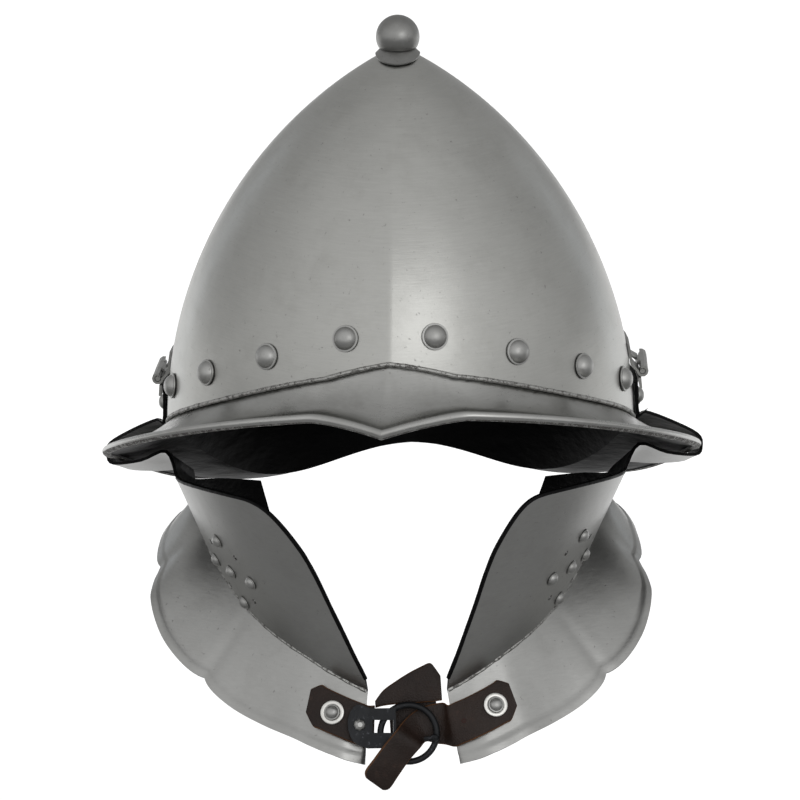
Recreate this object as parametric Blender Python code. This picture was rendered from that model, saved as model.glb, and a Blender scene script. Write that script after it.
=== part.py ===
"""A burgonet: a pointed steel helmet with a brim, hinged cheek plates and a chin strap.

Sizes are in metres. The wearer looks along -Y, and left and right are as seen from
the front, so the right side is at +X. The origin is where the top of the head comes
inside the crown, on the axis of the finial.
"""
import math

import bmesh
import bpy
from mathutils import Matrix, Vector

# Clearance that touching pieces keep between their faces
GAP = 0.0003

# Skull: a bowl whose profile is a pointed arch, with a crease from front to back
SKULL_HALF_WIDTH = 0.1106
SKULL_FRONT = 0.113
SKULL_BACK = 0.128
SKULL_HEIGHT = 0.183
SKULL_WALL = 0.0016
SKULL_CREASE = 0.14
SKULL_TOP_REACH = 0.003
HEAD_SEAT_DEPTH = 0.045

# Seam between skull and brim, as heights over the skull's widest level. The lower
# edge of the old helmet is a little out of level: LOWER_EDGE_TILT raises its right.
SEAM_BROW_RISE = 0.0575
SEAM_SIDE_RISE = 0.0015
SEAM_NAPE_RISE = -0.0465
SEAM_FRONT_SAG = 0.003
SEAM_BACK_SAG = 0.0151
SEAM_CHEVRON = 0.0045
SEAM_CHEVRON_ANGLE = math.radians(16.0)

# Brim: a plate with a rolled edge, held by a collar inside the skull
BRIM_WALL = 0.0014
BRIM_COLLAR_HEIGHT = 0.022
BRIM_HALF_WIDTH = 0.1408
BRIM_CENTRE_Y = 0.008
BRIM_FRONT = 0.124
BRIM_BACK = 0.150
BRIM_FRONT_RISE = 0.0425
BRIM_SIDE_RISE = -0.0150
BRIM_BACK_RISE = -0.0555
BRIM_BACK_SAG = 0.0171
BRIM_ROLL_RADIUS = 0.0023
LOWER_EDGE_TILT = math.radians(1.4)
BRIM_HOLLOW = 0.0025
PEAK_POINT_LENGTH = 0.018
PEAK_POINT_DROP = 0.003
PEAK_POINT_LEAN = 0.002
PEAK_POINT_HALF_WIDTH = 0.034
PEAK_POINT_POWER = 1.3

# Brow rivets
BROW_RIVETS = 18
BROW_RIVET_RISE = 0.0145
WING_RIVET_RISE = 0.0135
WING_RIVET_SHARE = 0.73
BROW_RIVET_RADIUS = 0.0060
BROW_RIVET_HEIGHT = 0.0042

# Finial
FINIAL_BALL_RADIUS = 0.0100
FINIAL_BALL_RISE = 0.0035
FINIAL_NECK_RADIUS = 0.0083
FINIAL_FOOT_SIDE = 0.0096
FINIAL_FOOT_FRONT = 0.0140
FINIAL_FOOT_LIP = 0.0010

# Cheek plates: a wall that tapers inwards as it goes down, round an oval in plan
PLATE_WALL = 0.0015
JAW_CENTRE_Y = 0.030
JAW_HALF_WIDTH = 0.108
JAW_FRONT = 0.124
JAW_BACK = 0.080
JAW_TOP_RISE = -0.030
JAW_HEIGHT = 0.080
JAW_SIDE_TAPER = 0.42
JAW_FRONT_TAPER = 0.24
JAW_FIRST_ANGLE = 14.0
CHEEK_SWAY = 0.008
CHEEK_LEAN = 0.0045
CHEEK_SWAY_TOP = 0.25
CHEEK_SWAY_POWER = 0.7
WING_FIRST_ANGLE = 76.0
WING_LAST_ANGLE = 99.0
JAW_LAST_ANGLE = 132.0
FLARE_WIDTH = 0.042
FLARE_LAST_ANGLE = 97.0

# The cheek plate from the chin to behind the ear. Angles are in degrees round the
# jaw from the front. Edge and waist are depths below the jaw's top, as shares of
# JAW_HEIGHT.
CHEEK_COLUMNS = ("angle", "edge", "waist")
CHEEK_TABLE = (
    (14.0, 0.860, 0.945),
    (16.5, 0.705, 0.928),
    (18.5, 0.550, 0.915),
    (20.5, 0.380, 0.900),
    (22.5, 0.175, 0.883),
    (24.5, 0.025, 0.868),
    (29.0, -0.170, 0.832),
    (33.0, -0.245, 0.797),
    (40.0, -0.250, 0.750),
    (50.0, -0.220, 0.685),
    (60.0, -0.170, 0.600),
    (68.0, -0.120, 0.500),
    (76.0, -0.070, 0.390),
    (81.0, -0.055, 0.318),
    (88.0, 0.000, 0.240),
    (93.0, 0.060, 0.215),
    (99.0, 0.130, 0.270),
    (116.0, 0.220, 0.460),
    (132.0, 0.310, 0.520),
)

# The neck flare below the waist. Width is a share of FLARE_WIDTH, and dip is the
# slope below the level in degrees. Notches part the lobes, each with its depth as
# a share of the width.
FLARE_COLUMNS = ("angle", "width", "dip")
FLARE_TABLE = (
    (14.0, 0.81, 66.0),
    (20.0, 0.85, 57.0),
    (32.0, 0.90, 57.0),
    (40.0, 0.95, 57.0),
    (48.0, 0.99, 52.0),
    (58.0, 1.01, 42.0),
    (67.0, 1.02, 36.0),
    (75.0, 0.90, 33.0),
    (82.0, 0.74, 43.0),
    (88.0, 0.65, 50.0),
    (93.0, 0.54, 52.0),
    (97.0, 0.32, 44.0),
)
FLARE_NOTCHES = ((56.0, 0.075), (81.5, 0.130))
FLARE_NOTCH_ANGLE = 2.2

# The wing of a cheek plate, from the hinge down to the jaw wall. Each row follows
# the skull, the brim or the jaw: on gives which, along is the share of the way out
# over the brim, out and up are distances off it as shares of WING_CLEARANCE, and
# front and back are the Y of the row's ends.
WING_CLEARANCE = 0.003
WING_COLUMNS = ("on", "along", "out", "up", "front", "back")
WING_TABLE = (
    ("skull", 0.0, 0.7, 8.2, -0.002, 0.026),
    ("skull", 0.0, 0.7, 2.9, -0.002, 0.028),
    ("brim", 0.10, 0.8, 2.6, 0.002, 0.034),
    ("brim", 0.55, 0.0, 3.3, 0.010, 0.040),
    ("brim", 0.92, 0.8, 2.2, 0.020, 0.045),
    ("brim", 1.0, 1.50, 0.4, 0.024, 0.047),
    ("brim", 1.0, 1.20, -1.2, 0.024, 0.047),
    ("brim", 0.70, 0.0, -1.6, 0.020, 0.047),
    ("brim", 0.28, 0.0, -2.2, 0.008, 0.042),
)

# Ear rosette: a rivet with four bosses and four holes in turn round it
ROSETTE_ANGLE = 56.0
ROSETTE_OVER_WAIST = 0.0232
ROSETTE_RADIUS = 0.0178
ROSETTE_HOLE_RADIUS = 0.0014
EAR_RIVET_RADIUS = 0.0036
EAR_RIVET_HEIGHT = 0.0026

# Hinges
HINGE_Y = 0.012
HINGE_RISE_OVER_SEAM = 0.0302
HINGE_HALF_LENGTH = 0.014
HINGE_KNUCKLE_SHARE = 0.34
HINGE_LEAF_WALL = 0.0012
HINGE_PIN_RADIUS = 0.0013
HINGE_UPPER_LEAF = 0.011
HINGE_LOWER_LEAF = 0.0064

# Chin strap, laid along the middle of the neck flare. Angles are round the jaw,
# negative on the left, and the plates' front edges stand at JAW_FIRST_ANGLE.
STRAP_WIDTH = 0.0195
STRAP_THICKNESS = 0.0024
STRAP_CLEARANCE = 0.0007
STRAP_ALONG_FLARE = 0.48
STRAP_CHAMFER = 0.004
STRAP_LEFT_END = -30.0
STRAP_LEFT_INNER = -11.5
STRAP_RIGHT_END = 31.8
WASHER_RADIUS = 0.0055
WASHER_THICKNESS = 0.0010
STRAP_RIVET_RADIUS = 0.0036
STRAP_RIVET_HEIGHT = 0.0026
LEFT_WASHER_ANGLE = -23.0
RIGHT_WASHER_ANGLE = 26.2

# Buckle: an iron plate with a slot, a ring and a prong. Places on it are measured
# from the ring's centre, to the right and down the flare.
RING_ANGLE = -0.5
RING_DROP = 0.0033
RING_RADIUS = 0.0130
RING_WIRE_RADIUS = 0.0015
BUCKLE_PLATE_THICKNESS = 0.0014
BUCKLE_PLATE_CLEARANCE = 0.0008
BUCKLE_PLATE_HALF_WIDTH = 0.0092
BUCKLE_PLATE_RISE = 0.0025
BUCKLE_PLATE_ANGLES = (-19.2, -16.4, -4.6)
BUCKLE_SLOT_LENGTH = 0.0095
BUCKLE_SLOT_WIDTH = 0.0058
BUCKLE_SLOT_ANGLE = -9.2
BUCKLE_RIVET_RADIUS = 0.0028
BUCKLE_RIVET_HEIGHT = 0.0018
PRONG_RADIUS = 0.0011
PRONG_BALL_RADIUS = 0.0019
PRONG_REACH = 0.0120
PRONG_DROP = 0.0030

# Path of the right strap behind the ring, up through it and out as a tongue, in mm:
# right of the ring's centre, below it, lift of the strap's lower face over the
# ring's middle plane, half width, and the strap's turn in degrees
TONGUE_COLUMNS = ("right", "down", "lift", "half_width", "turn")
TONGUE_TABLE = (
    (16.5, -3.3, -4.2, 9.7, 0.0),
    (10.5, -3.2, -4.5, 9.0, 10.0),
    (6.5, -2.5, -4.3, 8.0, 25.0),
    (2.5, -0.5, -1.0, 7.0, 45.0),
    (-0.5, 2.5, 4.4, 7.0, 50.0),
    (-6.0, 8.0, 4.5, 7.0, 50.0),
    (-11.5, 14.5, 4.2, 7.2, 50.0),
    (-16.0, 20.0, 3.2, 7.2, 50.0),
    (-17.6, 22.0, 2.8, 4.5, 50.0),
)

# The strap's spare leather, folded up behind the ring, in mm: right of the ring's
# centre, below it, and half width
FOLD_LIFT = -0.0043
FOLD_THICKNESS = 0.0022
FOLD_COLUMNS = ("right", "down", "half_width")
FOLD_TABLE = (
    (-14.6, -14.2, 1.6),
    (-10.5, -16.9, 3.6),
    (-4.3, -19.0, 5.4),
    (2.0, -20.6, 7.2),
    (8.0, -22.0, 8.4),
    (12.0, -22.6, 9.0),
    (14.3, -21.4, 7.6),
    (16.8, -19.4, 5.4),
)

# Steps that facet the shapes
ROUND_STEPS = 60
FRONT_DENSITY = 0.40
SKULL_ROWS = 7
RIVET_SIDES = 8

# Heights that follow from the sizes above
POINT_RADIUS = (SKULL_HALF_WIDTH ** 2 + SKULL_HEIGHT ** 2) / (2.0 * SKULL_HALF_WIDTH)
WIDEST_Z = HEAD_SEAT_DEPTH + SKULL_WALL - SKULL_HEIGHT
JAW_TOP_Z = WIDEST_Z + JAW_TOP_RISE
STRAP_FACE = PLATE_WALL / 2.0 + STRAP_CLEARANCE

MATERIALS = {
    "steel": ((0.42, 0.42, 0.41, 1.0), 0.34, 1.0),
    "black_steel": ((0.03, 0.03, 0.032, 1.0), 0.42, 0.6),
    "washer_zinc": ((0.72, 0.71, 0.68, 1.0), 0.38, 1.0),
    "leather": ((0.075, 0.045, 0.032, 1.0), 0.62, 0.0),
}


def clear_scene():
    for item in list(bpy.data.objects):
        bpy.data.objects.remove(item, do_unlink=True)


def material(name):
    """One Principled material for each finish."""
    found = bpy.data.materials.get(name)
    if found:
        return found
    colour, roughness, metallic = MATERIALS[name]
    made = bpy.data.materials.new(name)
    made.use_nodes = True
    shader = made.node_tree.nodes["Principled BSDF"]
    shader.inputs["Base Color"].default_value = colour
    shader.inputs["Roughness"].default_value = roughness
    shader.inputs["Metallic"].default_value = metallic
    made.diffuse_color = colour
    return made


def add_object(name, points, faces, finish):
    """A named object from points and faces, with its faces turned outwards."""
    mesh = bpy.data.meshes.new(name)
    mesh.from_pydata([tuple(p) for p in points], [], faces)
    edit = bmesh.new()
    edit.from_mesh(mesh)
    bmesh.ops.recalc_face_normals(edit, faces=edit.faces)
    edit.to_mesh(mesh)
    edit.free()
    mesh.materials.append(material(finish))
    mesh.shade_smooth()
    mesh.set_sharp_from_angle(angle=math.radians(35.0))
    made = bpy.data.objects.new(name, mesh)
    bpy.context.scene.collection.objects.link(made)
    return made


def loft(name, rings, finish, closed=False):
    """Skin a row of equal closed rings, capped at its ends or joined end to end."""
    count = len(rings[0])
    points = [p for ring in rings for p in ring]
    faces = []
    pairs = len(rings) if closed else len(rings) - 1
    for i in range(pairs):
        here = i * count
        there = ((i + 1) % len(rings)) * count
        for j in range(count):
            k = (j + 1) % count
            faces.append((here + j, here + k, there + k, there + j))
    if not closed:
        faces.append(tuple(range(count)))
        faces.append(tuple(range(len(points) - count, len(points))))
    return add_object(name, points, faces, finish)


def add_shell(name, points, faces, thickness, finish, even=True):
    """A sheet given its thickness equally to both sides."""
    made = add_object(name, points, faces, finish)
    shell = made.modifiers.new("Wall", "SOLIDIFY")
    shell.thickness = thickness
    shell.offset = 0.0
    shell.use_even_offset = even
    return made


def read_table(table, columns, column, angle):
    """A column of a table at an angle, along a smooth curve through its rows."""
    where = columns.index(column)
    xs = [row[0] for row in table]
    ys = [row[where] for row in table]
    if angle <= xs[0]:
        return ys[0]
    if angle >= xs[-1]:
        return ys[-1]
    i = max(k for k in range(len(xs) - 1) if xs[k] <= angle)
    span = xs[i + 1] - xs[i]
    t = (angle - xs[i]) / span
    before = max(i - 1, 0)
    after = min(i + 2, len(xs) - 1)
    start = (ys[i + 1] - ys[before]) / (xs[i + 1] - xs[before]) * span
    end = (ys[after] - ys[i]) / (xs[after] - xs[i]) * span
    return ((2 * t ** 3 - 3 * t ** 2 + 1) * ys[i] + (t ** 3 - 2 * t ** 2 + t) * start
            + (3 * t ** 2 - 2 * t ** 3) * ys[i + 1] + (t ** 3 - t ** 2) * end)


def cheek(column, angle):
    return read_table(CHEEK_TABLE, CHEEK_COLUMNS, column, angle)


def flare_width(angle):
    share = read_table(FLARE_TABLE, FLARE_COLUMNS, "width", angle)
    for notch, depth in FLARE_NOTCHES:
        share *= 1.0 - depth * math.exp(-abs(angle - notch) / FLARE_NOTCH_ANGLE)
    return FLARE_WIDTH * share


def three_heights(angle, front, side, back, front_sag, back_sag):
    """A height that runs smoothly from the front over the side to the back."""
    forward = math.cos(angle)
    swing = (front - back) / 2.0
    crown = (front + back) / 2.0 - side
    sag = front_sag if forward > 0.0 else back_sag
    droop = 4.0 * sag * forward ** 2 * math.sin(angle) ** 2
    return side + swing * forward + crown * forward ** 2 - droop


def pointed_reach(base, rise, inset=0.0):
    """Distance from the axis to a pointed arch of the given base, at a height."""
    radius = (base ** 2 + SKULL_HEIGHT ** 2) / (2.0 * base)
    return math.sqrt((radius - inset) ** 2 - rise ** 2) - (radius - base)


def skull_point(angle, z, inset=0.0):
    """A point of the skull's face, inset from its outside, at an angle from the front."""
    rise = z - WIDEST_Z
    side = pointed_reach(SKULL_HALF_WIDTH, rise, inset)
    base = SKULL_FRONT if math.cos(angle) > 0.0 else SKULL_BACK
    depth = pointed_reach(base, rise, inset)
    share = (1.0 - SKULL_CREASE) * abs(math.cos(angle)) + SKULL_CREASE * (1.0 - abs(math.sin(angle)))
    y = -math.copysign(depth * share, math.cos(angle))
    return Vector((side * math.sin(angle), y, z))


def skull_normal(angle, z):
    """The outward direction of the skull's face."""
    step = 0.001
    along = skull_point(angle + step, z) - skull_point(angle - step, z)
    up = skull_point(angle, z + step) - skull_point(angle, z - step)
    return along.cross(up).normalized()


def seam_z(angle):
    turn = abs((angle + math.pi) % (2.0 * math.pi) - math.pi)
    chevron = SEAM_CHEVRON * max(0.0, 1.0 - turn / SEAM_CHEVRON_ANGLE)
    rise = three_heights(angle, SEAM_BROW_RISE, SEAM_SIDE_RISE, SEAM_NAPE_RISE,
                         SEAM_FRONT_SAG, SEAM_BACK_SAG)
    tilt = LOWER_EDGE_TILT * SKULL_HALF_WIDTH * math.sin(angle)
    return WIDEST_Z + rise + chevron + tilt


def rim_point(angle):
    """The centre of the brim's rolled edge."""
    x = BRIM_HALF_WIDTH * math.sin(angle)
    reach = BRIM_FRONT if math.cos(angle) > 0.0 else BRIM_BACK
    y = BRIM_CENTRE_Y - reach * math.cos(angle)
    z = WIDEST_Z + three_heights(angle, BRIM_FRONT_RISE, BRIM_SIDE_RISE, BRIM_BACK_RISE,
                                 0.0, BRIM_BACK_SAG) + LOWER_EDGE_TILT * x
    if math.cos(angle) > 0.0 and abs(x) < PEAK_POINT_HALF_WIDTH:
        point = (1.0 - abs(x) / PEAK_POINT_HALF_WIDTH) ** PEAK_POINT_POWER
        x -= PEAK_POINT_LEAN * point
        y -= PEAK_POINT_LENGTH * point
        z -= PEAK_POINT_DROP * point
    return Vector((x, y, z))


def brim_root(angle):
    """Where the brim's plate leaves its collar, at mid wall."""
    z = seam_z(angle) - GAP - BRIM_WALL / 2.0
    return skull_point(angle, z, SKULL_WALL + GAP + BRIM_WALL / 2.0)


def brim_frame(angle):
    """The brim's outward direction and its upward normal at an angle."""
    root = brim_root(angle)
    out = (rim_point(angle) - root).normalized()
    across = Vector((math.cos(angle), math.sin(angle), 0.0))
    up = out.cross(across).normalized()
    if up.z < 0.0:
        up.negate()
    return out, up


def brim_point(angle, along):
    """A point at mid wall of the brim's plate, from root (0) to rolled edge (1)."""
    out, up = brim_frame(angle)
    root = brim_root(angle)
    sag = BRIM_HOLLOW * math.sin(math.pi * along)
    return root.lerp(rim_point(angle), along) - up * sag


def round_angles():
    """Angles round the helmet, closer together at the front."""
    steps = [2.0 * math.pi * i / ROUND_STEPS for i in range(ROUND_STEPS)]
    return [t - FRONT_DENSITY * math.sin(t) for t in steps]


def skull_height_at(base, reach):
    """The height over the widest level where the pointed arch has a given reach."""
    radius = (base ** 2 + SKULL_HEIGHT ** 2) / (2.0 * base)
    return math.sqrt(radius ** 2 - (reach + radius - base) ** 2)


def make_skull():
    """Rings of the inner face from the top down, then of the outer face going up.

    The lowest two rings of each face stand at the ends of the brim's collar.
    """
    angles = round_angles()
    outer_top = WIDEST_Z + skull_height_at(SKULL_HALF_WIDTH, SKULL_TOP_REACH)
    inner_top = outer_top - SKULL_WALL * POINT_RADIUS / (POINT_RADIUS - SKULL_HALF_WIDTH)

    def rings(inset, top_z):
        made = [[skull_point(a, seam_z(a), inset) for a in angles]]
        for i in range(SKULL_ROWS + 1):
            share = math.sin(0.5 * math.pi * i / SKULL_ROWS)
            lows = [seam_z(a) + BRIM_COLLAR_HEIGHT for a in angles]
            made.append([skull_point(a, low + (top_z - low) * share, inset)
                         for a, low in zip(angles, lows)])
        return made

    inner = rings(SKULL_WALL, inner_top)
    return loft("skull", inner[::-1] + rings(0.0, outer_top), "steel")


def brim_section(angle):
    """The closed outline of the brim at one angle: collar, plate and rolled edge."""
    out, up = brim_frame(angle)
    rim = rim_point(angle)
    low = seam_z(angle) - GAP
    collar_face = SKULL_WALL + GAP
    half = BRIM_WALL / 2.0
    points = [
        skull_point(angle, seam_z(angle) + BRIM_COLLAR_HEIGHT, collar_face),
        skull_point(angle, low, collar_face),
    ]
    stations = (0.35, 0.70)
    points += [brim_point(angle, along) + up * half for along in stations]
    for turn in (140.0, 95.0, 45.0, -5.0, -55.0, -110.0, -155.0):
        t = math.radians(turn)
        points.append(rim + (out * math.cos(t) + up * math.sin(t)) * BRIM_ROLL_RADIUS)
    points += [brim_point(angle, along) - up * half for along in reversed(stations)]
    points.append(skull_point(angle, low - BRIM_WALL, collar_face + BRIM_WALL))
    points.append(skull_point(angle, seam_z(angle) + BRIM_COLLAR_HEIGHT, collar_face + BRIM_WALL))
    return points


def make_brim():
    rings = [brim_section(angle) for angle in round_angles()]
    return loft("brim", rings, "steel", closed=True)


def make_rivet(name, seat, normal, radius, height, finish):
    """A domed head on a thin rim, seated a gap off the face that it holds."""
    turn = normal.to_track_quat("Z", "Y").to_matrix()
    profile = ((0.0, 1.0), (0.16, 1.0), (0.55, 0.80), (0.88, 0.42))
    rings = []
    for rise, reach in profile:
        ring = []
        for i in range(RIVET_SIDES):
            t = 2.0 * math.pi * i / RIVET_SIDES
            local = Vector((radius * reach * math.cos(t), radius * reach * math.sin(t), height * rise + GAP))
            ring.append(seat + turn @ local)
        rings.append(ring)
    return loft(name, rings, finish)


def make_brow_rivets():
    """Rivets at equal steps of arc round the skull, none on the crease."""
    fine = 720
    angles = [2.0 * math.pi * i / fine for i in range(fine + 1)]
    path = [skull_point(a, seam_z(a) + BROW_RIVET_RISE) for a in angles]
    run = [0.0]
    for a, b in zip(path, path[1:]):
        run.append(run[-1] + (b - a).length)
    for i in range(BROW_RIVETS):
        want = run[-1] * (i + 0.5) / BROW_RIVETS
        k = next(n for n in range(fine) if run[n + 1] >= want)
        angle = angles[k] + (angles[k + 1] - angles[k]) * (want - run[k]) / (run[k + 1] - run[k])
        on_wing = 0.0 < skull_point(angle, seam_z(angle)).y < WING_TABLE[0][-1]
        z = seam_z(angle) + (WING_RIVET_RISE if on_wing else BROW_RIVET_RISE)
        seat, normal = skull_point(angle, z), skull_normal(angle, z)
        if on_wing:
            seat += normal * (WING_TABLE[0][2] * WING_CLEARANCE + PLATE_WALL / 2.0)
        share = WING_RIVET_SHARE if on_wing else 1.0
        make_rivet("brow_rivet_%02d" % (i + 1), seat, normal, BROW_RIVET_RADIUS * share,
                   BROW_RIVET_HEIGHT * share, "steel")


def make_finial():
    """A ball over a collar whose foot follows the skull."""
    sides = 20
    angles = [2.0 * math.pi * i / sides for i in range(sides)]
    ball_z = WIDEST_Z + SKULL_HEIGHT + FINIAL_BALL_RISE

    def on_skull(angle, share, lift):
        base = SKULL_FRONT if math.cos(angle) > 0.0 else SKULL_BACK
        side = skull_height_at(SKULL_HALF_WIDTH, FINIAL_FOOT_SIDE * share)
        front = skull_height_at(base, FINIAL_FOOT_FRONT * share)
        z = WIDEST_Z + side + (front - side) * math.cos(angle) ** 2
        return skull_point(angle, z) + skull_normal(angle, z) * lift

    def circle(radius, z):
        return [Vector((radius * math.sin(a), -radius * math.cos(a), z)) for a in angles]

    under = GAP * 2.0
    top_z = WIDEST_Z + skull_height_at(SKULL_HALF_WIDTH, SKULL_TOP_REACH)
    rings = [circle(SKULL_TOP_REACH * 0.8, top_z + under)]
    rings += [[on_skull(a, share, under) for a in angles] for share in (0.5, 1.0)]
    rings.append([on_skull(a, 1.0, under + FINIAL_FOOT_LIP) for a in angles])
    neck_z = ball_z - math.sqrt(FINIAL_BALL_RADIUS ** 2 - FINIAL_NECK_RADIUS ** 2)
    rings.append(circle(FINIAL_NECK_RADIUS * 0.96, neck_z))
    start = -math.acos(FINIAL_NECK_RADIUS / FINIAL_BALL_RADIUS)
    steps = 7
    for i in range(1, steps):
        t = start + (math.pi / 2.0 - start) * i / steps
        rings.append(circle(FINIAL_BALL_RADIUS * math.cos(t), ball_z + FINIAL_BALL_RADIUS * math.sin(t)))
    return loft("finial", rings, "steel")


def jaw_point(angle, z):
    """A point on the jaw wall of a right-hand cheek plate, angle in degrees."""
    t = math.radians(angle)
    fall = JAW_TOP_Z - z
    side = JAW_HALF_WIDTH - JAW_SIDE_TAPER * fall
    base = JAW_FRONT if t < math.pi / 2.0 else JAW_BACK
    depth = base - JAW_FRONT_TAPER * fall
    return Vector((side * math.sin(t), JAW_CENTRE_Y - depth * math.cos(t), z))


def waist_point(angle):
    return jaw_point(angle, JAW_TOP_Z - cheek("waist", angle) * JAW_HEIGHT)


def flare_frame(angle):
    """The neck flare's direction down its slope, and its outward normal."""
    step = 0.5
    tangent = waist_point(angle + step) - waist_point(angle - step)
    tangent.z = 0.0
    level = tangent.normalized().cross(Vector((0.0, 0.0, 1.0)))
    dip = math.radians(read_table(FLARE_TABLE, FLARE_COLUMNS, "dip", angle))
    down = level * math.cos(dip) - Vector((0.0, 0.0, math.sin(dip)))
    normal = level * math.sin(dip) + Vector((0.0, 0.0, math.cos(dip)))
    return down, normal


def flare_point(angle, along):
    down, normal = flare_frame(angle)
    return waist_point(angle) + down * (flare_width(angle) * along)


def angle_at_y(point_of, y):
    """The angle at which a curve round the right-hand side reaches a given Y."""
    low, high = math.radians(20.0), math.radians(170.0)
    for _ in range(40):
        middle = (low + high) / 2.0
        if point_of(middle).y < y:
            low = middle
        else:
            high = middle
    return (low + high) / 2.0


def wing_point(row, share, side):
    """A point of the wing, a share of the way from its front edge to its back edge."""
    sizes = dict(zip(WING_COLUMNS, row))
    y = sizes["front"] + (sizes["back"] - sizes["front"]) * share
    out_by = sizes["out"] * WING_CLEARANCE
    up_by = sizes["up"] * WING_CLEARANCE
    if sizes["on"] == "skull":
        z = seam_z(side * angle_at_y(lambda a: skull_point(a, WIDEST_Z), HINGE_Y)) + up_by
        angle = side * angle_at_y(lambda a: skull_point(a, z), y)
        return skull_point(angle, z) + skull_normal(angle, z) * out_by
    angle = side * angle_at_y(lambda a: brim_point(a, sizes["along"]), y)
    out, up = brim_frame(angle)
    return brim_point(angle, sizes["along"]) + out * out_by + up * up_by


def spread(first, last, steps):
    return [first + (last - first) * i / steps for i in range(steps + 1)]


def cheek_sheet(side, front_steps=23, wing_steps=6, back_steps=3, wall_rows=6, flare_rows=4):
    """Points and faces of a cheek plate's middle sheet."""
    angles = spread(JAW_FIRST_ANGLE, WING_FIRST_ANGLE, front_steps)
    angles += spread(WING_FIRST_ANGLE, WING_LAST_ANGLE, wing_steps)[1:]
    angles += spread(WING_LAST_ANGLE, JAW_LAST_ANGLE, back_steps)[1:]
    points = []
    index = {}

    def put(row, column, point):
        index[row, column] = len(points)
        points.append(point)

    for column, angle in enumerate(angles):
        top = JAW_TOP_Z - cheek("edge", angle) * JAW_HEIGHT
        low = waist_point(angle).z
        for row in range(wall_rows + 1):
            put(row, column, on_side(jaw_point(angle, top + (low - top) * row / wall_rows), side))
        if angle <= FLARE_LAST_ANGLE:
            for row in range(1, flare_rows + 1):
                put(wall_rows + row, column, on_side(flare_point(angle, row / flare_rows), side))
    first_wing = front_steps
    for column in range(wing_steps + 1):
        for row, sizes in enumerate(reversed(WING_TABLE)):
            put(-1 - row, first_wing + column, wing_point(sizes, column / wing_steps, side))
    faces = []
    for row, column in index:
        corners = [(row, column), (row + 1, column), (row + 1, column + 1), (row, column + 1)]
        if all(corner in index for corner in corners):
            faces.append(tuple(index[corner] for corner in corners))
    return points, faces


def on_side(point, side):
    """A right-hand point of the jaw brought to its own side, and out of true.

    The plates hang a little to the right at the chin, and tilt with the brim.
    """
    x = point.x * side
    depth = (JAW_TOP_Z - point.z) / JAW_HEIGHT + CHEEK_SWAY_TOP
    front = max(0.0, JAW_CENTRE_Y - point.y) / JAW_FRONT
    share = (max(0.0, depth) / (1.0 + CHEEK_SWAY_TOP)) ** CHEEK_SWAY_POWER
    sway = (CHEEK_SWAY * front - CHEEK_LEAN * (1.0 - front)) * share
    return Vector((x + sway, point.y, point.z + LOWER_EDGE_TILT * x))


def sheet_normal(point_of, first, second, steps, side):
    """The outward normal of a sheet that is given by two numbers."""
    along = point_of(first + steps[0], second) - point_of(first - steps[0], second)
    across = point_of(first, second + steps[1]) - point_of(first, second - steps[1])
    normal = along.cross(across).normalized()
    return normal if normal.x * side > 0.0 else -normal


def rosette_spot(k):
    """The angle and height of the k-th of eight places round the ear rivet."""
    down = ROSETTE_RADIUS * math.cos(math.radians(45.0 * k))
    forth = ROSETTE_RADIUS * math.sin(math.radians(45.0 * k))
    lean = math.hypot(1.0, JAW_SIDE_TAPER)
    centre_z = waist_point(ROSETTE_ANGLE).z + ROSETTE_OVER_WAIST / lean
    z = centre_z - down / lean
    arc = (jaw_point(ROSETTE_ANGLE + 0.5, z) - jaw_point(ROSETTE_ANGLE - 0.5, z)).length
    return ROSETTE_ANGLE + forth / arc, z


def ear_frame(angle, z, side):
    """A point of a cheek plate's middle sheet and its outward normal."""
    def point_of(a, height):
        return on_side(jaw_point(a, height), side)
    return point_of(angle, z), sheet_normal(point_of, angle, z, (0.5, 0.0005), side)


def drill(plate, name, cutter_mesh, place):
    """Cut a hole with a hidden cutter."""
    cutter = bpy.data.objects.new(name, cutter_mesh)
    cutter.matrix_world = place
    cutter.hide_render = True
    cutter.display_type = "WIRE"
    bpy.context.scene.collection.objects.link(cutter)
    cut = plate.modifiers.new(name, "BOOLEAN")
    cut.operation = "DIFFERENCE"
    cut.solver = "EXACT"
    cut.object = cutter


def make_cheek_plate(name, side):
    points, faces = cheek_sheet(side)
    plate = add_shell(name, points, faces, PLATE_WALL, "steel")
    for k in range(1, 8, 2):
        centre, normal = ear_frame(*rosette_spot(k), side)
        cutter = bpy.data.meshes.new(name + "_drill_%d" % k)
        edit = bmesh.new()
        bmesh.ops.create_cone(edit, cap_ends=True, segments=8, radius1=ROSETTE_HOLE_RADIUS,
                              radius2=ROSETTE_HOLE_RADIUS, depth=PLATE_WALL * 5.0)
        edit.to_mesh(cutter)
        edit.free()
        turn = normal.to_track_quat("Z", "Y").to_matrix().to_4x4()
        drill(plate, name + "_drill_%d" % k, cutter, Matrix.Translation(centre) @ turn)


def make_ear_rivets(tag, side):
    spots = [(ROSETTE_ANGLE, rosette_spot(2)[1])]
    spots += [rosette_spot(k) for k in range(0, 8, 2)]
    for i, (angle, z) in enumerate(spots):
        centre, normal = ear_frame(angle, z, side)
        make_rivet("ear_rivet_%s_%d" % (tag, i + 1), centre + normal * (PLATE_WALL / 2.0), normal,
                   EAR_RIVET_RADIUS, EAR_RIVET_HEIGHT, "steel")


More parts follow.
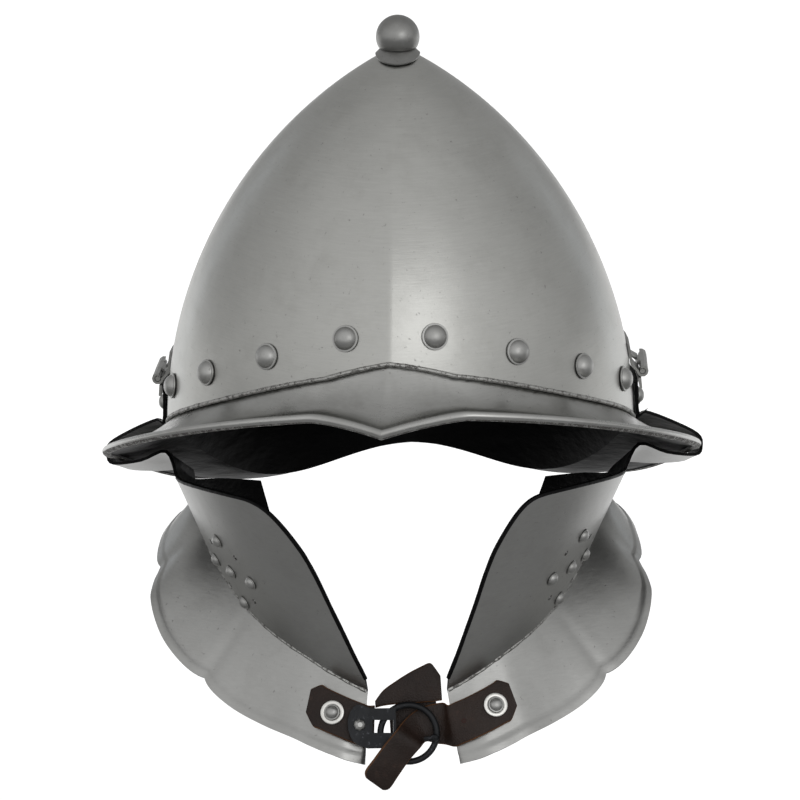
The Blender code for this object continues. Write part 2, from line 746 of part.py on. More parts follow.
def make_hinge(tag, side):
    """Two leaves with curled knuckles and a pin, the axis along Y."""
    seat_angle = side * angle_at_y(lambda a: skull_point(a, WIDEST_Z), HINGE_Y)
    axis_z = seam_z(seat_angle) + HINGE_RISE_OVER_SEAM
    curl = HINGE_PIN_RADIUS + GAP + HINGE_LEAF_WALL / 2.0
    knuckle = HINGE_HALF_LENGTH * HINGE_KNUCKLE_SHARE
    ys = [-HINGE_HALF_LENGTH, -knuckle - GAP, -knuckle, knuckle, knuckle + GAP, HINGE_HALF_LENGTH]

    def on_skull(y, z):
        angle = angle_at_y(lambda a: skull_point(a, z), y)
        return skull_point(angle, z).x + GAP + HINGE_LEAF_WALL / 2.0

    def on_plate(y, z):
        return on_skull(y, z) + WING_TABLE[0][2] * WING_CLEARANCE + PLATE_WALL / 2.0 + GAP

    axis_x = on_plate(HINGE_Y, axis_z) + curl

    def leaf(name, up, length, lie, knuckle_spans):
        rows = []
        for i in range(9):
            t = math.radians(110.0 - 36.0 * i)
            rows.append((axis_x + curl * math.cos(t), axis_z + up * curl * math.sin(t)))
        flat = spread(curl * 1.5, length, 3)
        points = []
        index = {}
        for i, y in enumerate(ys):
            for j, (x, z) in enumerate(rows):
                index[i, j] = len(points)
                points.append(Vector((side * x, HINGE_Y + y, z)))
            for j, rise in enumerate(flat):
                z = axis_z + up * rise
                index[i, len(rows) + j] = len(points)
                points.append(Vector((side * lie(HINGE_Y + y, z), HINGE_Y + y, z)))
        faces = []
        for i in range(len(ys) - 1):
            for j in range(len(rows) + len(flat) - 1):
                if j < len(rows) and i not in knuckle_spans:
                    continue
                corners = [(i, j), (i + 1, j), (i + 1, j + 1), (i, j + 1)]
                faces.append(tuple(index[c] for c in corners))
        used = sorted({v for face in faces for v in face})
        slot = {v: n for n, v in enumerate(used)}
        faces = [tuple(slot[v] for v in face) for face in faces]
        points = [points[v] for v in used]
        add_shell(name, points, faces, HINGE_LEAF_WALL, "black_steel", even=False)

    leaf("hinge_skull_leaf_" + tag, 1.0, curl + HINGE_UPPER_LEAF, on_skull, (0, 4))
    leaf("hinge_cheek_leaf_" + tag, -1.0, curl + HINGE_LOWER_LEAF, on_plate, (2,))
    rings = []
    for y in (-HINGE_HALF_LENGTH, HINGE_HALF_LENGTH):
        ring = []
        for i in range(RIVET_SIDES):
            t = 2.0 * math.pi * i / RIVET_SIDES
            ring.append(Vector((side * (axis_x + HINGE_PIN_RADIUS * math.cos(t)), HINGE_Y + y,
                                axis_z + HINGE_PIN_RADIUS * math.sin(t))))
        rings.append(ring)
    loft("hinge_pin_" + tag, rings, "black_steel")


def strap_frame(angle, lift=0.0):
    """A place on the strap's middle line: point, downward direction, outward normal.

    Beyond the plates' edges it follows their flare, and runs straight across the gap.
    """
    if abs(angle) < JAW_FIRST_ANGLE:
        share = 0.5 + 0.5 * angle / JAW_FIRST_ANGLE
        ends = [strap_frame(side * JAW_FIRST_ANGLE) for side in (-1.0, 1.0)]
        point, down, normal = [a.lerp(b, share) for a, b in zip(*ends)]
    else:
        side = math.copysign(1.0, angle)

        def point_of(a, along):
            return on_side(flare_point(a, along), side)

        here = max(abs(angle), JAW_FIRST_ANGLE + 0.5)
        point = point_of(abs(angle), STRAP_ALONG_FLARE)
        down = point_of(abs(angle), 1.0) - point_of(abs(angle), 0.0)
        normal = sheet_normal(point_of, here, STRAP_ALONG_FLARE, (0.5, 0.05), side)
        if normal.y > 0.0:
            normal.negate()
    down = down.normalized()
    normal = (normal - down * normal.dot(down)).normalized()
    return point + normal * lift, down, normal


def band(name, frames, halves, thickness, finish):
    """A flat strip through frames of its lower face, with a half width for each."""
    rings = []
    for (point, down, normal), half in zip(frames, halves):
        high = normal * thickness
        rings.append([point - down * half, point + down * half,
                      point + down * half + high, point - down * half + high])
    return loft(name, rings, finish)


def ring_frame():
    """Centre of the buckle ring with its rightward, downward and outward directions."""
    lift = STRAP_FACE + STRAP_THICKNESS - RING_WIRE_RADIUS
    point, down, normal = strap_frame(RING_ANGLE, lift)
    right = down.cross(normal).normalized()
    if right.x < 0.0:
        right.negate()
    return point + down * RING_DROP, right, down, normal


def make_strap_right():
    """The right strap: over the flare, behind the ring, and out in front as a tongue."""
    frames = [strap_frame(a, STRAP_FACE) for a in
              [STRAP_RIGHT_END, STRAP_RIGHT_END - 2.5]
              + spread(STRAP_RIGHT_END - 4.0, JAW_FIRST_ANGLE, 6)]
    half = STRAP_WIDTH / 2.0
    halves = [half - STRAP_CHAMFER] + [half] * (len(frames) - 1)
    centre, right, down, normal = ring_frame()
    for row in TONGUE_TABLE:
        sizes = dict(zip(TONGUE_COLUMNS, row))
        turn = math.radians(sizes["turn"])
        point = centre + (right * sizes["right"] + down * sizes["down"] + normal * sizes["lift"]) / 1000.0
        frames.append((point, down * math.cos(turn) + right * math.sin(turn), normal))
        halves.append(sizes["half_width"] / 1000.0)
    band("strap_right", frames, halves, STRAP_THICKNESS, "leather")


def make_buckle_plate():
    """A plate with a round end and a slot, over the left strap's end and the ring."""
    lift = STRAP_FACE + STRAP_THICKNESS + BUCKLE_PLATE_CLEARANCE
    first, full, last = BUCKLE_PLATE_ANGLES
    frames = []
    halves = []
    for i in range(5):
        t = math.radians(90.0 * (1.0 - i / 4.0) * 0.94)
        point, down, normal = strap_frame(full + (first - full) * math.sin(t), lift)
        frames.append((point - down * (BUCKLE_PLATE_RISE - RING_DROP), down, normal))
        halves.append(BUCKLE_PLATE_HALF_WIDTH * math.cos(t))
    for angle in (-JAW_FIRST_ANGLE, last):
        point, down, normal = strap_frame(angle, lift)
        frames.append((point - down * (BUCKLE_PLATE_RISE - RING_DROP), down, normal))
        halves.append(BUCKLE_PLATE_HALF_WIDTH)
    plate = band("buckle_plate", frames, halves, BUCKLE_PLATE_THICKNESS, "black_steel")
    slot = bpy.data.meshes.new("buckle_slot_cutter")
    edit = bmesh.new()
    bmesh.ops.create_cube(edit, size=1.0)
    edit.to_mesh(slot)
    edit.free()
    at, down, normal = strap_frame(BUCKLE_SLOT_ANGLE, lift)
    axes = Matrix((down.cross(normal), down, normal)).transposed()
    size = Matrix.Diagonal((BUCKLE_SLOT_LENGTH, BUCKLE_SLOT_WIDTH, BUCKLE_PLATE_THICKNESS * 4.0))
    drill(plate, "buckle_slot_cutter", slot, Matrix.Translation(at) @ (axes @ size).to_4x4())
    seat, down, normal = frames[4]
    make_rivet("buckle_rivet", seat + normal * BUCKLE_PLATE_THICKNESS, normal,
               BUCKLE_RIVET_RADIUS, BUCKLE_RIVET_HEIGHT, "steel")


def make_ring():
    centre, right, down, normal = ring_frame()
    steps, sides = 28, 6
    rings = []
    for i in range(steps):
        t = 2.0 * math.pi * i / steps
        spoke = right * math.cos(t) + down * math.sin(t)
        ring = []
        for j in range(sides):
            w = 2.0 * math.pi * (j + 0.5) / sides
            ring.append(centre + spoke * (RING_RADIUS + RING_WIRE_RADIUS * math.cos(w))
                        + normal * (RING_WIRE_RADIUS * math.sin(w)))
        rings.append(ring)
    loft("buckle_ring", rings, "black_steel", closed=True)


def make_prong():
    """A short prong with a ball at its end, which rests on the ring's right side."""
    centre, right, down, normal = ring_frame()
    rise = RING_WIRE_RADIUS + GAP + PRONG_BALL_RADIUS
    ball = PRONG_BALL_RADIUS
    stations = ((-0.0050, PRONG_RADIUS * 0.8), (-0.0045, PRONG_RADIUS), (-ball, PRONG_RADIUS),
                (-ball * 0.6, ball * 0.85), (0.0, ball), (ball * 0.7, ball * 0.75),
                (ball, ball * 0.3))
    rings = []
    for out, radius in stations:
        base = centre + right * (PRONG_REACH + out) + down * PRONG_DROP + normal * rise
        ring = []
        for j in range(RIVET_SIDES):
            w = 2.0 * math.pi * j / RIVET_SIDES
            ring.append(base + down * (radius * math.cos(w)) + normal * (radius * math.sin(w)))
        rings.append(ring)
    loft("buckle_prong", rings, "black_steel")


def make_strap_fold():
    """The strap's spare leather, folded up behind the ring."""
    centre, right, down, normal = ring_frame()
    frames = []
    halves = []
    for row in FOLD_TABLE:
        sizes = dict(zip(FOLD_COLUMNS, row))
        point = centre + (right * sizes["right"] + down * sizes["down"]) / 1000.0
        frames.append((point + normal * FOLD_LIFT, down, normal))
        halves.append(sizes["half_width"] / 1000.0)
    band("strap_fold", frames, halves, FOLD_THICKNESS, "leather")


def make_strap():
    left = [strap_frame(a, STRAP_FACE) for a in
            [STRAP_LEFT_END, STRAP_LEFT_END + 2.5] + spread(-26.0, -JAW_FIRST_ANGLE, 5)
            + [STRAP_LEFT_INNER]]
    half = STRAP_WIDTH / 2.0
    band("strap_left", left, [half - STRAP_CHAMFER] + [half] * (len(left) - 1),
         STRAP_THICKNESS, "leather")
    make_strap_right()
    top = STRAP_FACE + STRAP_THICKNESS + GAP
    for tag, angle in (("left", LEFT_WASHER_ANGLE), ("right", RIGHT_WASHER_ANGLE)):
        seat, _, normal = strap_frame(angle, top)
        make_washer("strap_washer_" + tag, seat, normal)
        make_rivet("strap_rivet_" + tag, seat + normal * WASHER_THICKNESS, normal,
                   STRAP_RIVET_RADIUS, STRAP_RIVET_HEIGHT, "steel")
    make_buckle_plate()
    make_ring()
    make_prong()
    make_strap_fold()


def make_washer(name, seat, normal):
    turn = normal.to_track_quat("Z", "Y").to_matrix()
    sides = 14
    rings = []
    for z in (0.0, WASHER_THICKNESS):
        rings.append([seat + turn @ Vector((WASHER_RADIUS * math.cos(2.0 * math.pi * i / sides),
                                            WASHER_RADIUS * math.sin(2.0 * math.pi * i / sides), z))
                      for i in range(sides)])
    return loft(name, rings, "washer_zinc")


def main():
    clear_scene()
    make_skull()
    make_brim()
    make_brow_rivets()
    make_finial()
    for tag, side in (("left", -1.0), ("right", 1.0)):
        make_cheek_plate("cheek_plate_" + tag, side)
        make_ear_rivets(tag, side)
        make_hinge(tag, side)
    make_strap()


main()
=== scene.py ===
# %% [markdown]
# # A burgonet, dressed for the studio
# The packed CAD model comes in as a fixed frame. Each main piece of the helmet is
# then made again with more faces, from the same measured forms, and each surface
# gets its finish: satin steel, black paint, dark leather and blackened iron.

# %% The frame and its box
import math

import bmesh
import bpy
from mathutils import Matrix, Quaternion, Vector


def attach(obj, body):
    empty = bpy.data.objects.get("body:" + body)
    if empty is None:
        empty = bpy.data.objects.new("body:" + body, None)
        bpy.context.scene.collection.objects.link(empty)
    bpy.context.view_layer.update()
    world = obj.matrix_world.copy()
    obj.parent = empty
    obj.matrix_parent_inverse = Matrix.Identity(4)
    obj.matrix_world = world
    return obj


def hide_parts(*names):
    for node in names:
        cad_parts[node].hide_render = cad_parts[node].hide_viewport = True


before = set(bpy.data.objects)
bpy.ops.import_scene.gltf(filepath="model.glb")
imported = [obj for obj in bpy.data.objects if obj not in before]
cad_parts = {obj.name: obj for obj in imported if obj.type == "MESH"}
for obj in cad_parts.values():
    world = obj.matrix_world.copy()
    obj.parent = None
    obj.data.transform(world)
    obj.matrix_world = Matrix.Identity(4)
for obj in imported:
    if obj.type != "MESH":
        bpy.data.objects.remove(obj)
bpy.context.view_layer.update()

# %% [markdown]
# ## The camera
# The helmet was photographed from a little above and almost straight from the
# front. A long lens keeps the skull from bulging, so the camera stands 1.4 m away.
# It turns a fraction of a degree about its own axis, as a hand-held one does.

# %% Camera
SIGHT_HEIGHT = -0.0789
CAMERA_RISE = math.radians(16.0)
CAMERA_TURN = math.radians(2.6)
CAMERA_ROLL = math.radians(0.4)
CAMERA_DISTANCE = 1.4
METRES_PER_PIXEL = 0.00047
FRAME_PIXELS = 800
AIM_PIXELS = (0.4, -91.5)
SENSOR_WIDTH = 36.0


def show(name, data):
    """A new object in the scene, at the origin."""
    made = bpy.data.objects.new(name, data)
    bpy.context.scene.collection.objects.link(made)
    return made



toward = Vector((math.sin(CAMERA_TURN) * math.cos(CAMERA_RISE),
                 -math.cos(CAMERA_TURN) * math.cos(CAMERA_RISE), math.sin(CAMERA_RISE)))
sight = Vector((0.0, 0.0, SIGHT_HEIGHT))
eye = sight + toward * CAMERA_DISTANCE
turn = (-toward).to_track_quat("-Z", "Y") @ Quaternion((0.0, 0.0, 1.0), -CAMERA_ROLL)
aim = sight + turn @ Vector((*AIM_PIXELS, 0.0)) * METRES_PER_PIXEL
turn = (aim - eye).to_track_quat("-Z", "Y") @ Quaternion((0.0, 0.0, 1.0), -CAMERA_ROLL)
lens_data = bpy.data.cameras.new("studio_camera")
lens_data.sensor_width = SENSOR_WIDTH
lens_data.lens = SENSOR_WIDTH * (aim - eye).length / (FRAME_PIXELS * METRES_PER_PIXEL)
camera = show("studio_camera", lens_data)
camera.location = eye
camera.rotation_euler = turn.to_euler()
bpy.context.scene.camera = camera
print("Camera lens, mm:", round(lens_data.lens, 1))

# %% [markdown]
# ## Shader maths as expressions
# A node tree is easier to read as a formula. The class below wraps an output
# socket, so that `1 - mask * 0.5` adds its own Math nodes. One method, `node`,
# makes any other node from its type, its settings and its inputs.


# %% Shader helper
class Wire:
    """An output socket of a node tree, with arithmetic."""

    def __init__(self, tree, socket):
        self.tree = tree
        self.socket = socket

    def node(self, kind, settings=None, output=0, **inputs):
        """Any node: settings first, then inputs by name or by i0, i1 and so on."""
        return add_node(self.tree, kind, settings, output, **inputs)

    def math(self, operation, a, b):
        return self.node("ShaderNodeMath", {"operation": operation}, i0=a, i1=b)

    def __add__(self, other):
        return self.math("ADD", self, other)

    def __sub__(self, other):
        return self.math("SUBTRACT", self, other)

    def __mul__(self, other):
        return self.math("MULTIPLY", self, other)

    def __rsub__(self, other):
        return self.math("SUBTRACT", other, self)

    __radd__ = __add__
    __rmul__ = __mul__


def plug(tree, where, value):
    """Link a wire to an input socket, or set the socket's own value."""
    if isinstance(value, Wire):
        tree.links.new(value.socket, where)
    else:
        where.default_value = value


def add_node(tree, kind, settings=None, output=0, **inputs):
    made = tree.nodes.new(kind)
    for key, value in (settings or {}).items():
        if key == "stops":
            elements = made.color_ramp.elements
            while len(elements) < len(value):
                elements.new(1.0)
            for element, (place, level) in zip(elements, value):
                element.position = place
                element.color = (level, level, level, 1.0)
        else:
            setattr(made, key, value)
    for key, value in inputs.items():
        where = int(key[1:]) if key[1:].isdigit() else key.replace("_", " ")
        plug(tree, made.inputs[where], value)
    return Wire(tree, made.outputs[output])


print("Reflected operators:", [key for key in vars(Wire) if key.startswith("__r")])


# %% Materials and masks
def start_material(name):
    """A new material: its tree, its Principled node and its Object coordinates."""
    made = bpy.data.materials.new(name)
    made.use_nodes = True
    tree = made.node_tree
    shader = tree.nodes["Principled BSDF"]
    place = add_node(tree, "ShaderNodeTexCoord", output=3)
    return made, tree, shader, place


def noise(place, scale, detail=4.0, rough=0.55, stretch=None):
    """Noise from 0 to 1, with the pattern drawn out along an axis if asked."""
    if stretch:
        place = place.node("ShaderNodeMapping", Vector=place, Scale=stretch)
    return place.node("ShaderNodeTexNoise", Vector=place, Scale=scale, Detail=detail,
                      Roughness=rough)


def ramp(value, stops):
    return value.node("ShaderNodeValToRGB", {"stops": stops}, Fac=value)


def mask_up(value, first, last):
    """0 up to the first level and 1 from the last one on."""
    return ramp(value, [(0.0, 0.0), (first, 0.0), (last, 1.0), (1.0, 1.0)])


def mask_down(value, first, last):
    """1 up to the first level and 0 from the last one on."""
    return ramp(value, [(0.0, 1.0), (first, 1.0), (last, 0.0), (1.0, 0.0)])


def mix_colours(mask, *colours):
    """The first colour where the mask is 0 and the second where it is 1."""
    a, b = [c if isinstance(c, Wire) else (*c, 1.0) for c in colours]
    return mask.node("ShaderNodeMix", {"data_type": "RGBA"}, 2, i0=mask, i6=a, i7=b)


def feed(tree, shader, **sockets):
    for key, value in sockets.items():
        plug(tree, shader.inputs[key.replace("_", " ")], value)


def bump(height, strength, distance):
    return height.node("ShaderNodeBump", Strength=strength, Distance=distance, Height=height)


print("Shader helper ready")

# %% [markdown]
# ## The steel
# The helmet is mild steel, ground and then rubbed with fine abrasive cloth. Broad
# soft clouds are left by the hammer, fine scratches run round the bowl, and small
# dark pits sit where scale was. Metal with some roughness gives its soft sheen.
# The same recipe serves each steel piece, with more wear where it was handled.


# %% Steel finishes
DARK_SHARE, LIGHT_SHARE, STAIN_SHARES = 0.74, 1.20, (0.42, 0.40, 0.37)
PIT_COLOUR = (0.10, 0.095, 0.09)


def make_steel(name, tint, roughness, wear, scratch_stretch):
    made, tree, shader, place = start_material(name)
    clouds = noise(place, 22.0, 3.0, 0.5)
    hammer = noise(place, 55.0, 2.0, 0.45)
    scratches = noise(place, 420.0, 5.0, 0.7, scratch_stretch)
    pits = mask_down(noise(place, 520.0, 3.0, 0.6), 0.27, 0.33)
    smudge = mask_up(noise(place, 60.0, 6.0, 0.7), 0.50, 0.72)
    dark, light = [[c * share for c in tint] for share in (DARK_SHARE, LIGHT_SHARE)]
    stain = [c * share for c, share in zip(tint, STAIN_SHARES)]
    colour = mix_colours(clouds * 0.45 + scratches * 0.55, dark, light)
    colour = mix_colours(smudge * wear, colour, stain)
    colour = mix_colours(pits * (0.35 + wear * 0.5), colour, PIT_COLOUR)
    level = roughness - 0.10 + clouds * 0.10 + scratches * 0.12 + smudge * (wear * 0.2)
    height = clouds * 0.55 + hammer * 0.30 + scratches * 0.09 - pits * 0.08
    feed(tree, shader, Base_Color=colour, Metallic=1.0, Roughness=level,
         Normal=bump(height, 0.35, 0.0016))
    return made


skull_steel = make_steel("skull_steel", (0.42, 0.42, 0.402), 0.33, 0.12, (0.25, 0.25, 4.0))
brim_steel = make_steel("brim_steel", (0.41, 0.41, 0.397), 0.28, 0.20, (0.30, 0.60, 4.0))
cheek_steel = make_steel("cheek_steel", (0.37, 0.37, 0.360), 0.33, 0.12, (0.5, 0.5, 3.0))
rivet_steel = make_steel("rivet_steel", (0.37, 0.37, 0.36), 0.40, 0.25, (1.0, 1.0, 1.0))
finial_steel = make_steel("finial_steel", (0.27, 0.27, 0.262), 0.36, 0.25, (1.0, 1.0, 1.0))
print("Steel finishes:", [m.name for m in (skull_steel, brim_steel, cheek_steel,
                                           rivet_steel, finial_steel)])

# %% [markdown]
# The rolled edge and the welds are rougher than the plates. Their beads catch dark
# scale in the low spots, so the colour follows the same noise as the height. The
# rolled edge takes a larger share of dark scale, which is partly painted shade, since
# it is laid only on the lower half of the roll.


# %% Worn edge and weld
def make_rough_edge(name, scale, dark_share):
    made, tree, shader, place = start_material(name)
    beads = noise(place, scale, 3.0, 0.6)
    grit = noise(place, scale * 4.0, 4.0, 0.7)
    scale_mask = mask_down(beads * 0.6 + grit * 0.4, dark_share, dark_share + 0.10)
    colour = mix_colours(scale_mask, (0.40, 0.40, 0.385), (0.12, 0.115, 0.11))
    feed(tree, shader, Base_Color=colour, Metallic=1.0 - scale_mask * 0.3,
         Roughness=0.40 + scale_mask * 0.25 + grit * 0.08,
         Normal=bump(beads * 0.7 + grit * 0.3, 0.6, 0.0009))
    return made


# Larger dark share on the rolled edge: real scale and painted shade on the roll's lower half
rolled_edge_scale_and_shade = make_rough_edge("rolled_edge_scale_and_shade", 430.0, 0.50)
weld_bead = make_rough_edge("weld_bead", 520.0, 0.42)
print("Rough finishes:", rolled_edge_scale_and_shade.name, weld_bead.name)

# %% [markdown]
# Inside, the helmet is painted black. The paint is a little glossy and lies over
# hammered steel, so it shows broad wrinkles and a fine orange peel.

# %% Black paint
black_paint, tree, shader, place = start_material("black_paint")
wrinkles = noise(place, 70.0, 4.0, 0.6, (1.0, 1.0, 2.2))
peel = noise(place, 650.0, 2.0, 0.5)
rubbed = mask_up(noise(place, 130.0, 5.0, 0.65), 0.62, 0.78)
feed(tree, shader,
     Base_Color=mix_colours(rubbed, (0.0018, 0.0018, 0.0020), (0.010, 0.010, 0.009)),
     Roughness=0.40 + wrinkles * 0.18, Specular_IOR_Level=0.10,
     Normal=bump(wrinkles * 0.8 + peel * 0.05, 0.5, 0.0020))
print("Black paint ready")

# %% [markdown]
# The leather is dark brown and smooth on its grain side, with fine creases. Its cut
# edges are raw, so they are a lighter orange brown. A third, near-black leather is
# painted shade, laid over the punched hole in the right strap.


# %% Leather
def make_leather(name, deep, pale, roughness):
    made, tree, shader, place = start_material(name)
    grain = place.node("ShaderNodeTexVoronoi", {"feature": "DISTANCE_TO_EDGE"},
                       Vector=place, Scale=900.0)
    creases = noise(place, 160.0, 5.0, 0.65, (2.4, 1.0, 1.0))
    cloud = noise(place, 45.0, 4.0, 0.6)
    scuff = mask_up(noise(place, 210.0, 6.0, 0.75), 0.56, 0.74)
    colour = mix_colours(cloud * 0.7 + scuff * 0.5, deep, pale)
    feed(tree, shader, Base_Color=colour, Roughness=roughness + scuff * 0.12 - cloud * 0.10,
         Specular_IOR_Level=0.26,
         Normal=bump(creases * 0.6 + grain * 0.4, 0.7, 0.0009))
    return made


leather_face = make_leather("leather_face", (0.0030, 0.0016, 0.0012), (0.044, 0.024, 0.017), 0.50)
leather_edge = make_leather("leather_edge", (0.030, 0.013, 0.006), (0.20, 0.085, 0.030), 0.70)
# Painted shade for the punched strap hole: a near-black red-brown
hole_shade_leather = make_leather("hole_shade_leather", (0.004, 0.002, 0.002), (0.05, 0.012, 0.006), 0.60)
print("Leather:", leather_face.name, leather_edge.name, hole_shade_leather.name)

# %% [markdown]
# The buckle is iron, blackened in oil, with bare metal where it rubs. The washers
# are zinc plated and have a fine crystal bloom.

# %% Iron and zinc
black_iron, tree, shader, place = start_material("black_iron")
bare = mask_up(noise(place, 340.0, 5.0, 0.7), 0.60, 0.75)
skin = noise(place, 240.0, 4.0, 0.6)
feed(tree, shader, Base_Color=mix_colours(bare, (0.018, 0.019, 0.021), (0.12, 0.125, 0.14)),
     Metallic=0.75, Roughness=0.36 + skin * 0.22, Normal=bump(skin, 0.4, 0.0007))

washer_zinc, tree, shader, place = start_material("washer_zinc")
bloom = noise(place, 700.0, 3.0, 0.5)
feed(tree, shader, Base_Color=mix_colours(bloom, (0.62, 0.61, 0.58), (0.86, 0.85, 0.82)),
     Metallic=0.9, Roughness=0.30 + bloom * 0.15, Normal=bump(bloom, 0.2, 0.0004))
print("Iron and zinc ready")

# %% [markdown]
# ## The forms of the helmet
# The skull is a pointed arch turned into an oval bowl, with a crease from front to
# back. The formulas below are those of the CAD model, with the same sizes, so each
# dressed piece lies exactly where its solid does and only gains faces.

# %% Sizes
GAP = 0.0003
SKULL_HALF_WIDTH, SKULL_FRONT, SKULL_BACK, SKULL_HEIGHT = 0.1106, 0.113, 0.128, 0.183
SKULL_WALL, SKULL_CREASE, SKULL_TOP_REACH = 0.0016, 0.14, 0.003
WIDEST_Z = 0.045 + SKULL_WALL - SKULL_HEIGHT
SEAM_BROW_RISE, SEAM_SIDE_RISE, SEAM_NAPE_RISE = 0.0575, 0.0015, -0.0465
SEAM_FRONT_SAG, SEAM_BACK_SAG = 0.003, 0.0151
SEAM_CHEVRON, SEAM_CHEVRON_ANGLE = 0.0045, math.radians(16.0)
TILT = math.radians(1.4)
BRIM_WALL, BRIM_COLLAR_HEIGHT = 0.0014, 0.022
BRIM_HALF_WIDTH, BRIM_CENTRE_Y, BRIM_FRONT, BRIM_BACK = 0.1408, 0.008, 0.124, 0.150
BRIM_FRONT_RISE, BRIM_SIDE_RISE, BRIM_BACK_RISE, BRIM_BACK_SAG = 0.0425, -0.0150, -0.0555, 0.0171
BRIM_ROLL_RADIUS, BRIM_HOLLOW = 0.0023, 0.0025
PEAK_LENGTH, PEAK_DROP, PEAK_LEAN, PEAK_HALF_WIDTH, PEAK_POWER = 0.018, 0.003, 0.002, 0.034, 1.3
POINT_RADIUS = (SKULL_HALF_WIDTH ** 2 + SKULL_HEIGHT ** 2) / (2.0 * SKULL_HALF_WIDTH)
FORM_ANGLES = 240
FORM_DENSITY = 0.40
print("Widest level of the skull:", round(WIDEST_Z, 4))


# %% Skull and brim forms
def pointed_reach(base, rise, inset=0.0):
    radius = (base ** 2 + SKULL_HEIGHT ** 2) / (2.0 * base)
    return math.sqrt((radius - inset) ** 2 - rise ** 2) - (radius - base)


def height_at(base, reach):
    radius = (base ** 2 + SKULL_HEIGHT ** 2) / (2.0 * base)
    return math.sqrt(radius ** 2 - (reach + radius - base) ** 2)


def skull_point(angle, z, inset=0.0):
    rise = z - WIDEST_Z
    side = pointed_reach(SKULL_HALF_WIDTH, rise, inset)
    depth = pointed_reach(SKULL_FRONT if math.cos(angle) > 0.0 else SKULL_BACK, rise, inset)
    oval, ridge = abs(math.cos(angle)), 1.0 - abs(math.sin(angle))
    share = (1.0 - SKULL_CREASE) * oval + SKULL_CREASE * ridge
    return Vector((side * math.sin(angle), -math.copysign(depth * share, math.cos(angle)), z))


def skull_normal(angle, z):
    along = skull_point(angle + 0.001, z) - skull_point(angle - 0.001, z)
    up = skull_point(angle, z + 0.001) - skull_point(angle, z - 0.001)
    return along.cross(up).normalized()


def three_heights(angle, front, side, back, front_sag, back_sag):
    forward = math.cos(angle)
    sag = front_sag if forward > 0.0 else back_sag
    return (side + (front - back) / 2.0 * forward + ((front + back) / 2.0 - side) * forward ** 2
            - 4.0 * sag * forward ** 2 * math.sin(angle) ** 2)


def seam_z(angle):
    near = abs((angle + math.pi) % (2.0 * math.pi) - math.pi)
    chevron = SEAM_CHEVRON * max(0.0, 1.0 - near / SEAM_CHEVRON_ANGLE)
    return (WIDEST_Z + chevron + TILT * SKULL_HALF_WIDTH * math.sin(angle)
            + three_heights(angle, SEAM_BROW_RISE, SEAM_SIDE_RISE, SEAM_NAPE_RISE,
                            SEAM_FRONT_SAG, SEAM_BACK_SAG))


def rim_point(angle):
    x = BRIM_HALF_WIDTH * math.sin(angle)
    y = BRIM_CENTRE_Y - (BRIM_FRONT if math.cos(angle) > 0.0 else BRIM_BACK) * math.cos(angle)
    z = WIDEST_Z + TILT * x + three_heights(angle, BRIM_FRONT_RISE, BRIM_SIDE_RISE,
                                            BRIM_BACK_RISE, 0.0, BRIM_BACK_SAG)
    if math.cos(angle) > 0.0 and abs(x) < PEAK_HALF_WIDTH:
        point = (1.0 - abs(x) / PEAK_HALF_WIDTH) ** PEAK_POWER
        x, y, z = x - PEAK_LEAN * point, y - PEAK_LENGTH * point, z - PEAK_DROP * point
    return Vector((x, y, z))


def brim_root(angle):
    z = seam_z(angle) - GAP - BRIM_WALL / 2.0
    return skull_point(angle, z, SKULL_WALL + GAP + BRIM_WALL / 2.0)


def brim_frame(angle):
    out = (rim_point(angle) - brim_root(angle)).normalized()
    up = out.cross(Vector((math.cos(angle), math.sin(angle), 0.0))).normalized()
    return out, up if up.z > 0.0 else -up


def brim_point(angle, along):
    up = brim_frame(angle)[1]
    sag = BRIM_HOLLOW * math.sin(math.pi * along)
    return brim_root(angle).lerp(rim_point(angle), along) - up * sag


def turns(count):
    return [2.0 * math.pi * i / count for i in range(count)]


form_angles = [t - FORM_DENSITY * math.sin(t) for t in turns(FORM_ANGLES)]
print("Brow seam height at the front:", round(seam_z(0.0), 4))

# %% [markdown]
# ## Meshes from rings
# A bowl, a brim and a strap are all rows of rings joined by faces. One function
# does that, and takes the finish of each strip, so that the outside can be steel
# and the inside black on one closed piece.


# %% Mesh helpers
def finish_mesh(name, points, faces, materials, indices, angle=35.0, turn_out=True):
    mesh = bpy.data.meshes.new(name)
    mesh.from_pydata([tuple(p) for p in points], [], faces)
    for item in materials:
        mesh.materials.append(item)
    mesh.polygons.foreach_set("material_index", indices)
    if turn_out:
        edit = bmesh.new()
        edit.from_mesh(mesh)
        bmesh.ops.recalc_face_normals(edit, faces=edit.faces)
        edit.to_mesh(mesh)
        edit.free()
    mesh.shade_smooth()
    mesh.set_sharp_from_angle(angle=math.radians(angle))
    return show(name, mesh)


def loft(name, rings, materials, finish_of=lambda i, j: 0, closed=False, angle=35.0):
    """Skin equal rings. finish_of(i, j) is the finish of the face after ring i, point j."""
    count = len(rings[0])
    points = [p for ring in rings for p in ring]
    faces, indices = [], []
    for i in range(len(rings) if closed else len(rings) - 1):
        here, there = i * count, ((i + 1) % len(rings)) * count
        for j in range(count):
            k = (j + 1) % count
            faces.append((here + j, here + k, there + k, there + j))
            indices.append(finish_of(i, j))
    if not closed:
        faces += [tuple(range(count)), tuple(range(len(points) - count, len(points)))]
        indices += [finish_of(0, 0), finish_of(len(rings) - 2, 0)]
    return finish_mesh(name, points, faces, materials, indices, angle)


def settle(piece, slot, *nodes):
    """Ride on the helmet's one body and stand for CAD nodes; the slot is not used."""
    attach(piece, "root")
    if nodes:
        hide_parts(*nodes)
    print(piece.name, "faces:", len(piece.data.polygons), "stands for:", nodes)


print("Mesh helpers ready")

# %% [markdown]
# ## The skull
# The bowl is one raised piece. Its two faces are lofted from the seam up to the
# point, the outer one in steel and the inner one in black paint.

